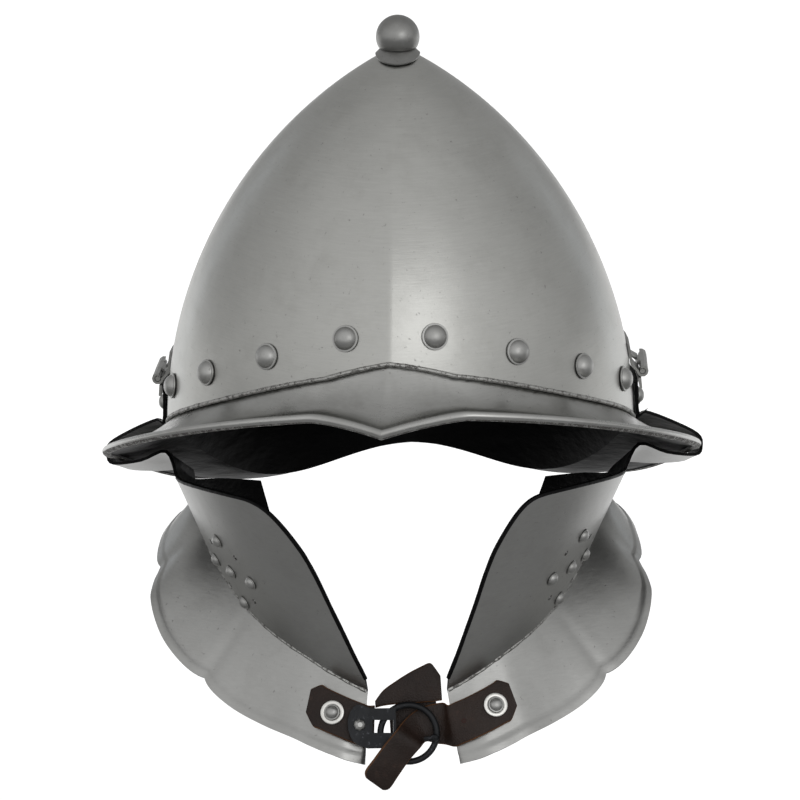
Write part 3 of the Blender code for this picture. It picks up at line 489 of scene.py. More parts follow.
# %% Skull
SKULL_STEPS = 44
outer_top = WIDEST_Z + height_at(SKULL_HALF_WIDTH, SKULL_TOP_REACH)
inner_top = outer_top - SKULL_WALL * POINT_RADIUS / (POINT_RADIUS - SKULL_HALF_WIDTH)


def skull_rings(inset, top_z):
    rings = []
    for i in range(SKULL_STEPS + 1):
        share = math.sin(0.5 * math.pi * i / SKULL_STEPS)
        rings.append([skull_point(a, seam_z(a) + (top_z - seam_z(a)) * share, inset)
                      for a in form_angles])
    return rings


rings = skull_rings(SKULL_WALL, inner_top)[::-1] + skull_rings(0.0, outer_top)
skull_bowl = loft("skull_bowl", rings, [skull_steel, black_paint],
                  lambda i, j: 1 if i < SKULL_STEPS else 0)
settle(skull_bowl, "steel", "skull")

# %% [markdown]
# ## The brim
# The brim is a hollow-ground plate that ends in a rolled edge. Its section is
# drawn once for each angle: collar inside the skull, plate, roll and underside.
# The lower half of the roll is rough, with dark scale that is partly painted shade,
# and the underside is painted black.

# %% Brim
PLATE_STATIONS = [0.12, 0.24, 0.36, 0.48, 0.60, 0.72, 0.84]
ROLL_TURNS = [140.0, 118.0, 96.0, 74.0, 52.0, 30.0, 8.0, -14.0, -36.0, -58.0, -80.0, -104.0,
              -128.0, -150.0]


def brim_section(angle):
    out, up = brim_frame(angle)
    rim, low, face, half = rim_point(angle), seam_z(angle) - GAP, SKULL_WALL + GAP, BRIM_WALL / 2.0
    points = [skull_point(angle, low + BRIM_COLLAR_HEIGHT, face), skull_point(angle, low, face)]
    points += [brim_point(angle, along) + up * half for along in PLATE_STATIONS]
    for degrees in ROLL_TURNS:
        t = math.radians(degrees)
        points.append(rim + (out * math.cos(t) + up * math.sin(t)) * BRIM_ROLL_RADIUS)
    points += [brim_point(angle, along) - up * half for along in reversed(PLATE_STATIONS)]
    points.append(skull_point(angle, low - BRIM_WALL, face + BRIM_WALL))
    points.append(skull_point(angle, low + BRIM_COLLAR_HEIGHT, face + BRIM_WALL))
    return points


roll_from = 2 + len(PLATE_STATIONS)
# From the turn at 8 degrees on down, the roll is darker: real scale and painted shade
roll_shaded_from = roll_from + ROLL_TURNS.index(8.0)
roll_to = roll_from + len(ROLL_TURNS) - 2


def brim_finish(i, j):
    if roll_shaded_from <= j < roll_to:
        return 1
    return 0 if 1 <= j < roll_shaded_from else 2


brim_plate = loft("brim_plate", [brim_section(a) for a in form_angles],
                  [brim_steel, rolled_edge_scale_and_shade, black_paint], brim_finish, closed=True)
settle(brim_plate, "steel", "brim")

# %% [markdown]
# ## The finial
# A ball stands on a cone-shaped collar whose foot follows the skull. Both are
# turned as one row of rings, with a fine groove where the ball meets the collar.

# %% Finial
BALL_RADIUS, BALL_RISE, NECK_RADIUS = 0.0100, 0.0035, 0.0083
FOOT_SIDE, FOOT_FRONT, FOOT_LIP = 0.0096, 0.0140, 0.0010
FINIAL_SIDES = 64
finial_angles = turns(FINIAL_SIDES)
ball_z = WIDEST_Z + SKULL_HEIGHT + BALL_RISE


def foot_ring(share, lift):
    ring = []
    for angle in finial_angles:
        side = height_at(SKULL_HALF_WIDTH, FOOT_SIDE * share)
        front = height_at(SKULL_FRONT if math.cos(angle) > 0.0 else SKULL_BACK, FOOT_FRONT * share)
        z = WIDEST_Z + side + (front - side) * math.cos(angle) ** 2
        ring.append(skull_point(angle, z) + skull_normal(angle, z) * lift)
    return ring


def turned_ring(radius, z):
    return [Vector((radius * math.sin(a), -radius * math.cos(a), z)) for a in finial_angles]


neck_z = ball_z - math.sqrt(BALL_RADIUS ** 2 - NECK_RADIUS ** 2)
rings = [turned_ring(SKULL_TOP_REACH * 0.8, outer_top + 2.0 * GAP), foot_ring(0.5, 2.0 * GAP),
         foot_ring(0.97, 2.0 * GAP), foot_ring(1.0, 2.0 * GAP + FOOT_LIP * 0.4),
         foot_ring(0.985, 2.0 * GAP + FOOT_LIP)]
collar = foot_ring(0.97, 2.0 * GAP + FOOT_LIP)
neck = turned_ring(NECK_RADIUS * 1.02, neck_z)
rings += [[a.lerp(b, share) for a, b in zip(collar, neck)] for share in (0.3, 0.6, 0.9, 1.0)]
rings += [turned_ring(NECK_RADIUS * 0.95, neck_z + 0.0003)]
start = -math.acos(NECK_RADIUS / BALL_RADIUS) * 0.96
for i in range(1, 24):
    t = start + (math.pi / 2.0 - start) * i / 24
    rings.append(turned_ring(BALL_RADIUS * math.cos(t), ball_z + BALL_RADIUS * math.sin(t)))
finial_knob = loft("finial_knob", rings, [finial_steel])
settle(finial_knob, "steel", "finial")

# %% [markdown]
# ## The cheek plates
# Each plate is one sheet: a wing bent round the brim, a wall down the jaw, and a
# flare welded on at the waist. The sheet is laid out on a grid of angles and rows,
# then given its wall by a Solidify modifier, whose inner face takes the paint.

# %% Cheek plate sizes
PLATE_WALL, JAW_CENTRE_Y, JAW_HALF_WIDTH, JAW_FRONT, JAW_BACK = 0.0015, 0.030, 0.108, 0.124, 0.080
JAW_TOP_Z, JAW_HEIGHT, JAW_SIDE_TAPER, JAW_FRONT_TAPER = WIDEST_Z - 0.030, 0.080, 0.42, 0.24
JAW_FIRST, WING_FIRST, WING_LAST, JAW_LAST, FLARE_LAST = 14.0, 76.0, 99.0, 132.0, 97.0
CHEEK_SWAY, CHEEK_LEAN, SWAY_TOP, SWAY_POWER = 0.008, 0.0045, 0.25, 0.7
FLARE_WIDTH = 0.042
CHEEK_ROWS = (
    (14.0, 0.860, 0.945), (16.5, 0.705, 0.928), (18.5, 0.550, 0.915), (20.5, 0.380, 0.900),
    (22.5, 0.175, 0.883), (24.5, 0.025, 0.868), (29.0, -0.170, 0.832), (33.0, -0.245, 0.797),
    (40.0, -0.250, 0.750), (50.0, -0.220, 0.685), (60.0, -0.170, 0.600), (68.0, -0.120, 0.500),
    (76.0, -0.070, 0.390), (81.0, -0.055, 0.318), (88.0, 0.000, 0.240), (93.0, 0.060, 0.215),
    (99.0, 0.130, 0.270), (116.0, 0.220, 0.460), (132.0, 0.310, 0.520),
)
FLARE_ROWS = (
    (14.0, 0.81, 66.0), (20.0, 0.85, 57.0), (32.0, 0.90, 57.0), (40.0, 0.95, 57.0),
    (48.0, 0.99, 52.0), (58.0, 1.01, 42.0), (67.0, 1.02, 36.0), (75.0, 0.90, 33.0),
    (82.0, 0.74, 43.0), (88.0, 0.65, 50.0), (93.0, 0.54, 52.0), (97.0, 0.32, 44.0),
)
FLARE_NOTCHES = ((56.0, 0.075), (81.5, 0.130))
NOTCH_SPREAD, CREASE_SPREAD = 2.2, 1.6
WING_CLEARANCE = 0.003
WING_ROWS = (
    ("skull", 0.0, 0.7, 8.2, -0.002, 0.026), ("skull", 0.0, 0.7, 2.9, -0.002, 0.028),
    ("brim", 0.10, 0.8, 2.6, 0.002, 0.034), ("brim", 0.55, 0.0, 3.3, 0.010, 0.040),
    ("brim", 0.92, 0.8, 2.2, 0.020, 0.045), ("brim", 1.0, 1.50, 0.4, 0.024, 0.047),
    ("brim", 1.0, 1.20, -1.2, 0.024, 0.047), ("brim", 0.70, 0.0, -1.6, 0.020, 0.047),
    ("brim", 0.28, 0.0, -2.2, 0.008, 0.042),
)
HINGE_Y = 0.012
print("Rows that shape a cheek plate:", len(CHEEK_ROWS) + len(FLARE_ROWS) + len(WING_ROWS))


# %% Cheek plate forms
def read_rows(rows, column, angle):
    """A column at an angle, on a smooth curve through its rows."""
    xs = [row[0] for row in rows]
    ys = [row[column] for row in rows]
    if angle <= xs[0] or angle >= xs[-1]:
        return ys[0] if angle <= xs[0] else ys[-1]
    i = max(k for k in range(len(xs) - 1) if xs[k] <= angle)
    span = xs[i + 1] - xs[i]
    t = (angle - xs[i]) / span
    before, after = max(i - 1, 0), min(i + 2, len(xs) - 1)
    begin = (ys[i + 1] - ys[before]) / (xs[i + 1] - xs[before]) * span
    end = (ys[after] - ys[i]) / (xs[after] - xs[i]) * span
    return ((2 * t ** 3 - 3 * t ** 2 + 1) * ys[i] + (t ** 3 - 2 * t ** 2 + t) * begin
            + (3 * t ** 2 - 2 * t ** 3) * ys[i + 1] + (t ** 3 - t ** 2) * end)


def jaw_point(angle, z):
    t, fall = math.radians(angle), JAW_TOP_Z - z
    depth = (JAW_FRONT if t < math.pi / 2.0 else JAW_BACK) - JAW_FRONT_TAPER * fall
    return Vector(((JAW_HALF_WIDTH - JAW_SIDE_TAPER * fall) * math.sin(t),
                   JAW_CENTRE_Y - depth * math.cos(t), z))


def waist_point(angle):
    return jaw_point(angle, JAW_TOP_Z - read_rows(CHEEK_ROWS, 2, angle) * JAW_HEIGHT)


def flare_frame(angle):
    tangent = waist_point(angle + 0.5) - waist_point(angle - 0.5)
    tangent.z = 0.0
    level = tangent.normalized().cross(Vector((0.0, 0.0, 1.0)))
    dip = math.radians(read_rows(FLARE_ROWS, 2, angle))
    return (level * math.cos(dip) - Vector((0.0, 0.0, math.sin(dip))),
            level * math.sin(dip) + Vector((0.0, 0.0, math.cos(dip))))


def flare_width(angle):
    share = read_rows(FLARE_ROWS, 1, angle)
    for notch, depth in FLARE_NOTCHES:
        share *= 1.0 - depth * math.exp(-abs(angle - notch) / NOTCH_SPREAD)
    return FLARE_WIDTH * share


def flare_point(angle, along):
    return waist_point(angle) + flare_frame(angle)[0] * (flare_width(angle) * along)


def on_side(point, side):
    """Bring a right-hand jaw point to its own side, with the plates' lean."""
    x = point.x * side
    front = max(0.0, JAW_CENTRE_Y - point.y) / JAW_FRONT
    depth = (JAW_TOP_Z - point.z) / JAW_HEIGHT + SWAY_TOP
    share = (max(0.0, depth) / (1.0 + SWAY_TOP)) ** SWAY_POWER
    sway = (CHEEK_SWAY * front - CHEEK_LEAN * (1.0 - front)) * share
    return Vector((x + sway, point.y, point.z + TILT * x))


print("Waist at the side, mm:", round(waist_point(WING_FIRST).z * 1000.0, 1))


# %% Wing forms
def angle_at_y(point_of, y):
    low, high = math.radians(20.0), math.radians(170.0)
    for _ in range(30):
        middle = (low + high) / 2.0
        low, high = (middle, high) if point_of(middle).y < y else (low, middle)
    return (low + high) / 2.0


def wing_point(row, share, side):
    on, along, out_share, up_share, first, last = row
    y = first + (last - first) * share
    if on == "skull":
        z = (seam_z(side * angle_at_y(lambda a: skull_point(a, WIDEST_Z), HINGE_Y))
             + up_share * WING_CLEARANCE)
        angle = side * angle_at_y(lambda a: skull_point(a, z), y)
        return skull_point(angle, z) + skull_normal(angle, z) * (out_share * WING_CLEARANCE)
    angle = side * angle_at_y(lambda a: brim_point(a, along), y)
    out, up = brim_frame(angle)
    return (brim_point(angle, along) + out * (out_share * WING_CLEARANCE)
            + up * (up_share * WING_CLEARANCE))


def through(points, steps):
    """Points on a smooth curve through the given ones, the last two for its end only."""
    made = []
    for i in range(len(points) - 2):
        a, b, c, d = points[max(i - 1, 0)], points[i], points[i + 1], points[i + 2]
        for k in range(steps):
            t = k / steps
            made.append(b + (c - a) * (0.5 * t) + (a * 2.0 - b * 5.0 + c * 4.0 - d) * (0.5 * t ** 2)
                        + (b * 3.0 - a - c * 3.0 + d) * (0.5 * t ** 3))
    return made


print("Widest flare, mm:", round(max(flare_width(a) for a in range(14, 97)) * 1000.0, 1))

# %% [markdown]
# The flare is not a plain sheet. A raised border runs 4 mm inside its edge, and a
# soft crease runs in from each notch. Both are moves of the grid along its normal.

# %% Cheek plates
FRONT_STEPS, WING_STEPS, BACK_STEPS, WALL_STEPS, FLARE_STEPS, WING_SPLIT = 90, 20, 12, 20, 22, 4
BORDER_WIDTH, BORDER_SOFTNESS, BORDER_HEIGHT, CREASE_DEPTH = 0.0042, 0.0016, 0.0006, 0.0009
EDGE_CROWDING = 1.35


def soft_step(x):
    x = min(1.0, max(0.0, x))
    return x * x * (3.0 - 2.0 * x)


def flare_relief(angle, along):
    inside = (1.0 - along) * flare_width(angle)
    start = BORDER_WIDTH + BORDER_SOFTNESS / 2.0
    border = soft_step((start - inside) / BORDER_SOFTNESS) * BORDER_HEIGHT
    crease = sum(math.exp(-((angle - notch) / CREASE_SPREAD) ** 2)
                 for notch, _ in FLARE_NOTCHES)
    return border - CREASE_DEPTH * crease * along


def spread(first, last, steps):
    return [first + (last - first) * i / steps for i in range(steps + 1)]


def cheek_sheet(side):
    angles = spread(JAW_FIRST, WING_FIRST, FRONT_STEPS)
    angles += spread(WING_FIRST, WING_LAST, WING_STEPS)[1:]
    angles += spread(WING_LAST, JAW_LAST, BACK_STEPS)[1:]
    grid = {}
    for column, angle in enumerate(angles):
        top = JAW_TOP_Z - read_rows(CHEEK_ROWS, 1, angle) * JAW_HEIGHT
        low = waist_point(angle).z
        for row in range(WALL_STEPS + 1):
            z = top + (low - top) * row / WALL_STEPS
            grid[row, column] = on_side(jaw_point(angle, z), side)
        if angle <= FLARE_LAST:
            normal = flare_frame(angle)[1]
            for row in range(1, FLARE_STEPS + 1):
                along = 1.0 - (1.0 - row / FLARE_STEPS) ** EDGE_CROWDING
                point = flare_point(angle, along) + normal * flare_relief(angle, along)
                grid[WALL_STEPS + row, column] = on_side(point, side)
    for column in range(WING_STEPS + 1):
        share, at = column / WING_STEPS, FRONT_STEPS + column
        stops = [wing_point(row, share, side) for row in WING_ROWS]
        stops += [grid[0, at], grid[3, at]]
        for k, point in enumerate(reversed(through(stops, WING_SPLIT))):
            grid[-1 - k, at] = point
    index = {key: n for n, key in enumerate(grid)}
    faces = []
    for row, column in grid:
        corners = [(row, column), (row + 1, column), (row + 1, column + 1), (row, column + 1)]
        if all(corner in index for corner in corners):
            loop = [index[corner] for corner in corners]
            faces.append(tuple(loop) if side > 0.0 else tuple(reversed(loop)))
    return list(grid.values()), faces


print("Rows of a sheet:", WALL_STEPS + FLARE_STEPS + 1)

# %% [markdown]
# Over each ear the plate has a rosette: a rivet in the middle, four bosses and four
# drilled holes on one circle. The holes are cut from the finished wall, so that
# their edges stay crisp.

# %% Rosette and drills
ROSETTE_ANGLE, ROSETTE_OVER_WAIST, ROSETTE_RADIUS, HOLE_RADIUS = 56.0, 0.0232, 0.0178, 0.0014


def rosette_spot(k):
    lean = math.hypot(1.0, JAW_SIDE_TAPER)
    z = (waist_point(ROSETTE_ANGLE).z
         + (ROSETTE_OVER_WAIST - ROSETTE_RADIUS * math.cos(math.radians(45.0 * k))) / lean)
    arc = (jaw_point(ROSETTE_ANGLE + 0.5, z) - jaw_point(ROSETTE_ANGLE - 0.5, z)).length
    return ROSETTE_ANGLE + ROSETTE_RADIUS * math.sin(math.radians(45.0 * k)) / arc, z


def sheet_normal(point_of, first, second, steps, side):
    along = point_of(first + steps[0], second) - point_of(first - steps[0], second)
    across = point_of(first, second + steps[1]) - point_of(first, second - steps[1])
    normal = along.cross(across).normalized()
    return normal if normal.x * side > 0.0 else -normal


def ear_frame(angle, z, side):
    def point_of(a, height):
        return on_side(jaw_point(a, height), side)
    return point_of(angle, z), sheet_normal(point_of, angle, z, (0.5, 0.0005), side)


def drills(side):
    """One mesh with the four drills of a rosette."""
    edit = bmesh.new()
    for k in range(1, 8, 2):
        centre, normal = ear_frame(*rosette_spot(k), side)
        turn_to = normal.to_track_quat("Z", "Y").to_matrix().to_4x4()
        bmesh.ops.create_cone(edit, cap_ends=True, segments=20, radius1=HOLE_RADIUS,
                              radius2=HOLE_RADIUS, depth=PLATE_WALL * 5.0,
                              matrix=Matrix.Translation(centre) @ turn_to)
    mesh = bpy.data.meshes.new("drills")
    edit.to_mesh(mesh)
    edit.free()
    return show("drills", mesh)


print("Rosette hole, mm:", HOLE_RADIUS * 2000.0)


# %% Both cheek plates
def bake_modifiers(piece):
    """Keep what the modifiers show as the piece's own mesh."""
    bpy.context.view_layer.update()
    shown = piece.evaluated_get(bpy.context.evaluated_depsgraph_get())
    whole = bpy.data.meshes.new_from_object(shown)
    piece.modifiers.clear()
    piece.data = whole
    whole.set_sharp_from_angle(angle=math.radians(40.0))


for tag, side in (("left", -1.0), ("right", 1.0)):
    points, faces = cheek_sheet(side)
    plate = finish_mesh("cheek_shell_" + tag, points, faces, [cheek_steel, black_paint],
                        [0] * len(faces), turn_out=False)
    shell = plate.modifiers.new("Wall", "SOLIDIFY")
    shell.thickness, shell.offset, shell.use_even_offset = PLATE_WALL, 0.0, True
    shell.material_offset, shell.material_offset_rim = 1, 1
    cutter = drills(side)
    cut = plate.modifiers.new("Holes", "BOOLEAN")
    cut.operation, cut.solver, cut.object = "DIFFERENCE", "EXACT", cutter
    bake_modifiers(plate)
    bpy.data.objects.remove(cutter)
    settle(plate, "steel", "cheek_plate_" + tag)

# %% [markdown]
# ## Rivets and washers with Geometry Nodes
# The helmet has rows of like rivets. Each row is a mesh of bare points that carry
# the way they face, and a node tree puts a turned head on each one. Instances are
# then made real, since an exporter drops them.

# %% Trees and fasteners
TREE_ENDS = [("given", "NodeGroupInput"), ("shown", "NodeGroupOutput"),
             ("real", "GeometryNodeRealizeInstances"), ("paint", "GeometryNodeSetMaterial")]
END_LINKS = [("real:Geometry", "paint:Geometry"), ("given:Finish", "paint:Material"),
             ("paint:Geometry", "shown:Geometry")]


def build_tree(name, inputs, nodes, links):
    """inputs: name, kind. nodes: key, type, settings, values. links: node:socket pairs."""
    tree = bpy.data.node_groups.new(name, "GeometryNodeTree")
    for label, kind in [("Geometry", "Geometry")] + inputs:
        tree.interface.new_socket(label, in_out="INPUT", socket_type="NodeSocket" + kind)
    tree.interface.new_socket("Geometry", in_out="OUTPUT", socket_type="NodeSocketGeometry")
    made = {}
    for key, kind, *more in nodes + TREE_ENDS:
        settings, values = (more + [{}, {}])[:2]
        made[key] = tree.nodes.new(kind)
        for setting, value in settings.items():
            setattr(made[key], setting, value)
        for socket, value in values.items():
            made[key].inputs[socket].default_value = value
    for start, end in links + END_LINKS:
        (source, output), (target, socket) = start.split(":"), end.split(":")
        where = int(socket) if socket.isdigit() else socket
        tree.links.new(made[source].outputs[output], made[target].inputs[where])
    return tree


def run_tree(piece, tree, **values):
    """Put a piece through a tree and keep the result as its own mesh."""
    nodes = piece.modifiers.new("Nodes", "NODES")
    nodes.node_group = tree
    for item in tree.interface.items_tree:
        if item.in_out == "INPUT" and item.name in values:
            nodes[item.identifier] = values[item.name]
    bake_modifiers(piece)


fasteners_on_points = build_tree(
    "fasteners_on_points", [("Fastener", "Object"), ("Size", "Float"), ("Finish", "Material")],
    [("facing", "GeometryNodeInputNamedAttribute", {"data_type": "FLOAT_VECTOR"},
      {"Name": "facing"}),
     ("share", "GeometryNodeInputNamedAttribute", {"data_type": "FLOAT"}, {"Name": "share"}),
     ("turned", "FunctionNodeAlignRotationToVector", {"axis": "Z"}),
     ("scale", "ShaderNodeMath", {"operation": "MULTIPLY"}),
     ("source", "GeometryNodeObjectInfo"), ("place", "GeometryNodeInstanceOnPoints")],
    [("given:Geometry", "place:Points"), ("given:Fastener", "source:Object"),
     ("source:Geometry", "place:Instance"), ("facing:Attribute", "turned:Vector"),
     ("turned:Rotation", "place:Rotation"), ("given:Size", "scale:0"),
     ("share:Attribute", "scale:1"), ("scale:Value", "place:Scale"),
     ("place:Instances", "real:Geometry")])


def stand_fasteners(name, seats, fastener, size, finish):
    """seats: (point, facing, share of the size)."""
    mesh = bpy.data.meshes.new(name)
    mesh.from_pydata([tuple(point) for point, _, _ in seats], [], [])
    mesh.attributes.new("facing", "FLOAT_VECTOR", "POINT")
    mesh.attributes.new("share", "FLOAT", "POINT")
    for i, (_, normal, part) in enumerate(seats):
        mesh.attributes["facing"].data[i].vector = normal
        mesh.attributes["share"].data[i].value = part
    made = show(name, mesh)
    run_tree(made, fasteners_on_points, Fastener=fastener, Size=size, Finish=finish)
    return made


def turned_head(name, profile, sides=28):
    """A head turned from (reach, rise) pairs, for a radius of 1."""
    rings = [[Vector((reach * math.cos(t), reach * math.sin(t), rise)) for t in turns(sides)]
             for reach, rise in profile]
    return loft(name, rings, [rivet_steel], angle=50.0)


print("Inputs of the fastener tree:", [i.name for i in fasteners_on_points.interface.items_tree])

# %% [markdown]
# A brow rivet is a hammered dome on a slim ring. Eleven profile points are enough
# for a round outline at this size.

# %% Rivets
DOME = [(0.0001, 0.05), (0.99, 0.05), (1.0, 0.10), (0.98, 0.15), (0.86, 0.17), (0.82, 0.26),
        (0.74, 0.40), (0.62, 0.53), (0.46, 0.63), (0.28, 0.695), (0.10, 0.72)]
dome = turned_head("dome_pattern", DOME)
BROW_RIVETS, BROW_RIVET_RISE, WING_RIVET_RISE, WING_RIVET_SHARE = 18, 0.0145, 0.0135, 0.73
BROW_RIVET_RADIUS, EAR_RIVET_RADIUS, STRAP_RIVET_RADIUS = 0.0060, 0.0036, 0.0036

fine = 720
walk = [2.0 * math.pi * i / fine for i in range(fine + 1)]
path = [skull_point(a, seam_z(a) + BROW_RIVET_RISE) for a in walk]
run = [0.0]
for a, b in zip(path, path[1:]):
    run.append(run[-1] + (b - a).length)
brow_seats = []
for i in range(BROW_RIVETS):
    want = run[-1] * (i + 0.5) / BROW_RIVETS
    k = next(n for n in range(fine) if run[n + 1] >= want)
    angle = walk[k] + (walk[k + 1] - walk[k]) * (want - run[k]) / (run[k + 1] - run[k])
    on_wing = 0.0 < skull_point(angle, seam_z(angle)).y < WING_ROWS[0][-1]
    z = seam_z(angle) + (WING_RIVET_RISE if on_wing else BROW_RIVET_RISE)
    seat, normal = skull_point(angle, z), skull_normal(angle, z)
    if on_wing:
        seat += normal * (WING_ROWS[0][2] * WING_CLEARANCE + PLATE_WALL / 2.0)
    brow_seats.append((seat, normal, WING_RIVET_SHARE if on_wing else 1.0))
brow_rivets = stand_fasteners("brow_rivet_heads", brow_seats, dome, BROW_RIVET_RADIUS,
                              rivet_steel)
settle(brow_rivets, "steel", *["brow_rivet_%02d" % (i + 1) for i in range(BROW_RIVETS)])

ear_seats = []
for side in (-1.0, 1.0):
    spots = [(ROSETTE_ANGLE, rosette_spot(2)[1])] + [rosette_spot(k) for k in range(0, 8, 2)]
    for angle, z in spots:
        centre, normal = ear_frame(angle, z, side)
        ear_seats.append((centre + normal * (PLATE_WALL / 2.0), normal, 1.0))
ear_rivets = stand_fasteners("ear_rivet_heads", ear_seats, dome, EAR_RIVET_RADIUS, rivet_steel)
settle(ear_rivets, "steel",
       *["ear_rivet_%s_%d" % (tag, i + 1) for tag in ("left", "right") for i in range(5)])

# %% [markdown]
# ## Beads of weld
# The brim is let into the skull, and the flare is welded to the jaw. Both joints
# show a low, ragged bead. A curve follows the joint, and a node tree sweeps a round
# section along it whose size wavers with noise. The same tree, with hardly any
# ripple, lays the black painted lip on the face edge of each cheek plate.


# %% Beads and lips
RIPPLE_SCALE, BEAD_SIDES, LEAST_SWELL = 240.0, 8, 0.5
bead_along_joint = build_tree(
    "bead_along_joint",
    [("Radius", "Float"), ("Ripple", "Float"), ("Seed", "Float"), ("Finish", "Material")],
    [("curve", "GeometryNodeMeshToCurve"),
     ("waver", "ShaderNodeTexNoise", {"noise_dimensions": "4D"}, {"Scale": RIPPLE_SCALE}),
     ("swell", "ShaderNodeMath", {"operation": "MULTIPLY_ADD"}, {2: LEAST_SWELL}),
     ("size", "ShaderNodeMath", {"operation": "MULTIPLY"}),
     ("radius", "GeometryNodeSetCurveRadius"),
     ("circle", "GeometryNodeCurvePrimitiveCircle", {}, {"Resolution": BEAD_SIDES, "Radius": 1.0}),
     ("sweep", "GeometryNodeCurveToMesh", {}, {"Fill Caps": True})],
    [("given:Geometry", "curve:Mesh"), ("given:Seed", "waver:W"), ("waver:Fac", "swell:0"),
     ("given:Ripple", "swell:1"), ("swell:Value", "size:0"), ("given:Radius", "size:1"),
     ("size:Value", "radius:Radius"), ("curve:Curve", "radius:Curve"),
     ("radius:Curve", "sweep:Curve"), ("circle:Curve", "sweep:Profile Curve"),
     ("size:Value", "sweep:Scale"), ("sweep:Mesh", "real:Geometry")])


def lay_bead(name, points, radius, ripple, seed, finish, closed=False):
    mesh = bpy.data.meshes.new(name)
    edges = [(i, i + 1) for i in range(len(points) - 1)]
    if closed:
        edges.append((len(points) - 1, 0))
    mesh.from_pydata([tuple(p) for p in points], edges, [])
    made = show(name, mesh)
    run_tree(made, bead_along_joint, Radius=radius, Ripple=ripple, Seed=seed, Finish=finish)
    made.data.shade_smooth()
    settle(made, "steel")


SEAM_STEPS, WAIST_STEPS, LIP_STEPS = 900, 300, 260
SEAM_INSET, WAIST_LIFT = 0.0001, 0.0004
# The radius and the ripple of each bead
BROW_BEAD, WAIST_BEAD, PAINTED_LIP = (0.0014, 0.45), (0.0011, 0.9), (0.0018, 0.15)
seam_path = [skull_point(a, seam_z(a) - GAP / 2.0, SEAM_INSET) for a in turns(SEAM_STEPS)]
lay_bead("brow_seam_bead", seam_path, *BROW_BEAD, 3.0, weld_bead, closed=True)
for tag, side in (("left", -1.0), ("right", 1.0)):
    waist = [on_side(flare_point(a, 0.0) + flare_frame(a)[1] * WAIST_LIFT, side)
             for a in spread(JAW_FIRST + 0.3, FLARE_LAST - 0.5, WAIST_STEPS)]
    lay_bead("waist_weld_" + tag, waist, *WAIST_BEAD, 5.0 + side, weld_bead)
    face_edge = []
    for a in spread(JAW_FIRST, WING_FIRST - 2.0, LIP_STEPS):
        z = JAW_TOP_Z - read_rows(CHEEK_ROWS, 1, a) * JAW_HEIGHT
        face_edge.append(on_side(jaw_point(a, z), side))
    lay_bead("painted_lip_" + tag, face_edge, *PAINTED_LIP, 1.0, black_paint)

# %% [markdown]
# ## The chin strap
# The strap is thick leather with rounded edges. Its frames are those of the CAD
# strap, with a smooth curve through them, and each ring is a rounded rectangle
# whose two narrow sides take the colour of cut leather.

# %% Strap forms
STRAP_WIDTH, STRAP_THICKNESS, STRAP_ALONG, STRAP_CHAMFER = 0.0195, 0.0024, 0.48, 0.004
STRAP_FACE = PLATE_WALL / 2.0 + 0.0007
LEFT_WASHER, RIGHT_WASHER = -23.0, 26.2
LEFT_END, LEFT_INNER, RIGHT_END = -30.0, -11.5, 31.8
RING_ANGLE, RING_DROP, RING_RADIUS, RING_WIRE = -0.5, 0.0033, 0.0130, 0.0015


def strap_frame(angle, lift=0.0):
    if abs(angle) < JAW_FIRST:
        share = 0.5 + 0.5 * angle / JAW_FIRST
        ends = [strap_frame(side * JAW_FIRST) for side in (-1.0, 1.0)]
        point, down, normal = [a.lerp(b, share) for a, b in zip(*ends)]
    else:
        side = math.copysign(1.0, angle)

        def point_of(a, along):
            return on_side(flare_point(a, along), side)

        here = max(abs(angle), JAW_FIRST + 0.5)
        point = point_of(abs(angle), STRAP_ALONG)
        down = point_of(abs(angle), 1.0) - point_of(abs(angle), 0.0)
        normal = sheet_normal(point_of, here, STRAP_ALONG, (0.5, 0.05), side)
        if normal.y > 0.0:
            normal.negate()
    down = down.normalized()
    normal = (normal - down * normal.dot(down)).normalized()
    return point + normal * lift, down, normal


ring_lift = STRAP_FACE + STRAP_THICKNESS - RING_WIRE
ring_point, ring_down, ring_normal = strap_frame(RING_ANGLE, ring_lift)
ring_centre = ring_point + ring_down * RING_DROP
ring_right = ring_down.cross(ring_normal).normalized()
if ring_right.x < 0.0:
    ring_right.negate()
EDGE, CORNER_SHARE = 0.0009, 0.66


def leather_band(name, frames, halves, thickness, nodes):
    """A strap with rounded edges, smooth along its length."""
    rows = [(point, down, normal, Vector((half, 0.0, 0.0)))
            for (point, down, normal), half in zip(frames, halves)]
    rows.append(rows[-1])
    fine_rows = [through([row[k] for row in rows], 5) for k in range(4)]
    rings = []
    middle = thickness / 2.0
    for point, down, normal, half in zip(*fine_rows):
        down = down.normalized()
        normal = (normal - down * normal.dot(down)).normalized()
        section = []
        for u, v in ((-1.0, -1.0), (1.0, -1.0), (1.0, 1.0), (-1.0, 1.0)):
            for degrees in (-67.5, -22.5, 22.5, 67.5):
                corner = math.atan2(v, u) + math.radians(degrees) * CORNER_SHARE
                section.append(point + normal * middle
                               + down * (u * (half.x - EDGE) + EDGE * math.cos(corner))
                               + normal * (v * (middle - EDGE) + EDGE * math.sin(corner)))
        rings.append(section)
    band = loft(name, rings, [leather_face, leather_edge],
                lambda i, j: 1 if (j + 3) % 8 < 5 else 0)
    settle(band, "leather", *nodes)


def ring_frames(rows, lift):
    """Frames level with the ring, from (right, below, half width) in mm."""
    return [(ring_centre + (ring_right * right + ring_down * below) / 1000.0 + ring_normal * lift,
             ring_down, ring_normal) for right, below, _ in rows]


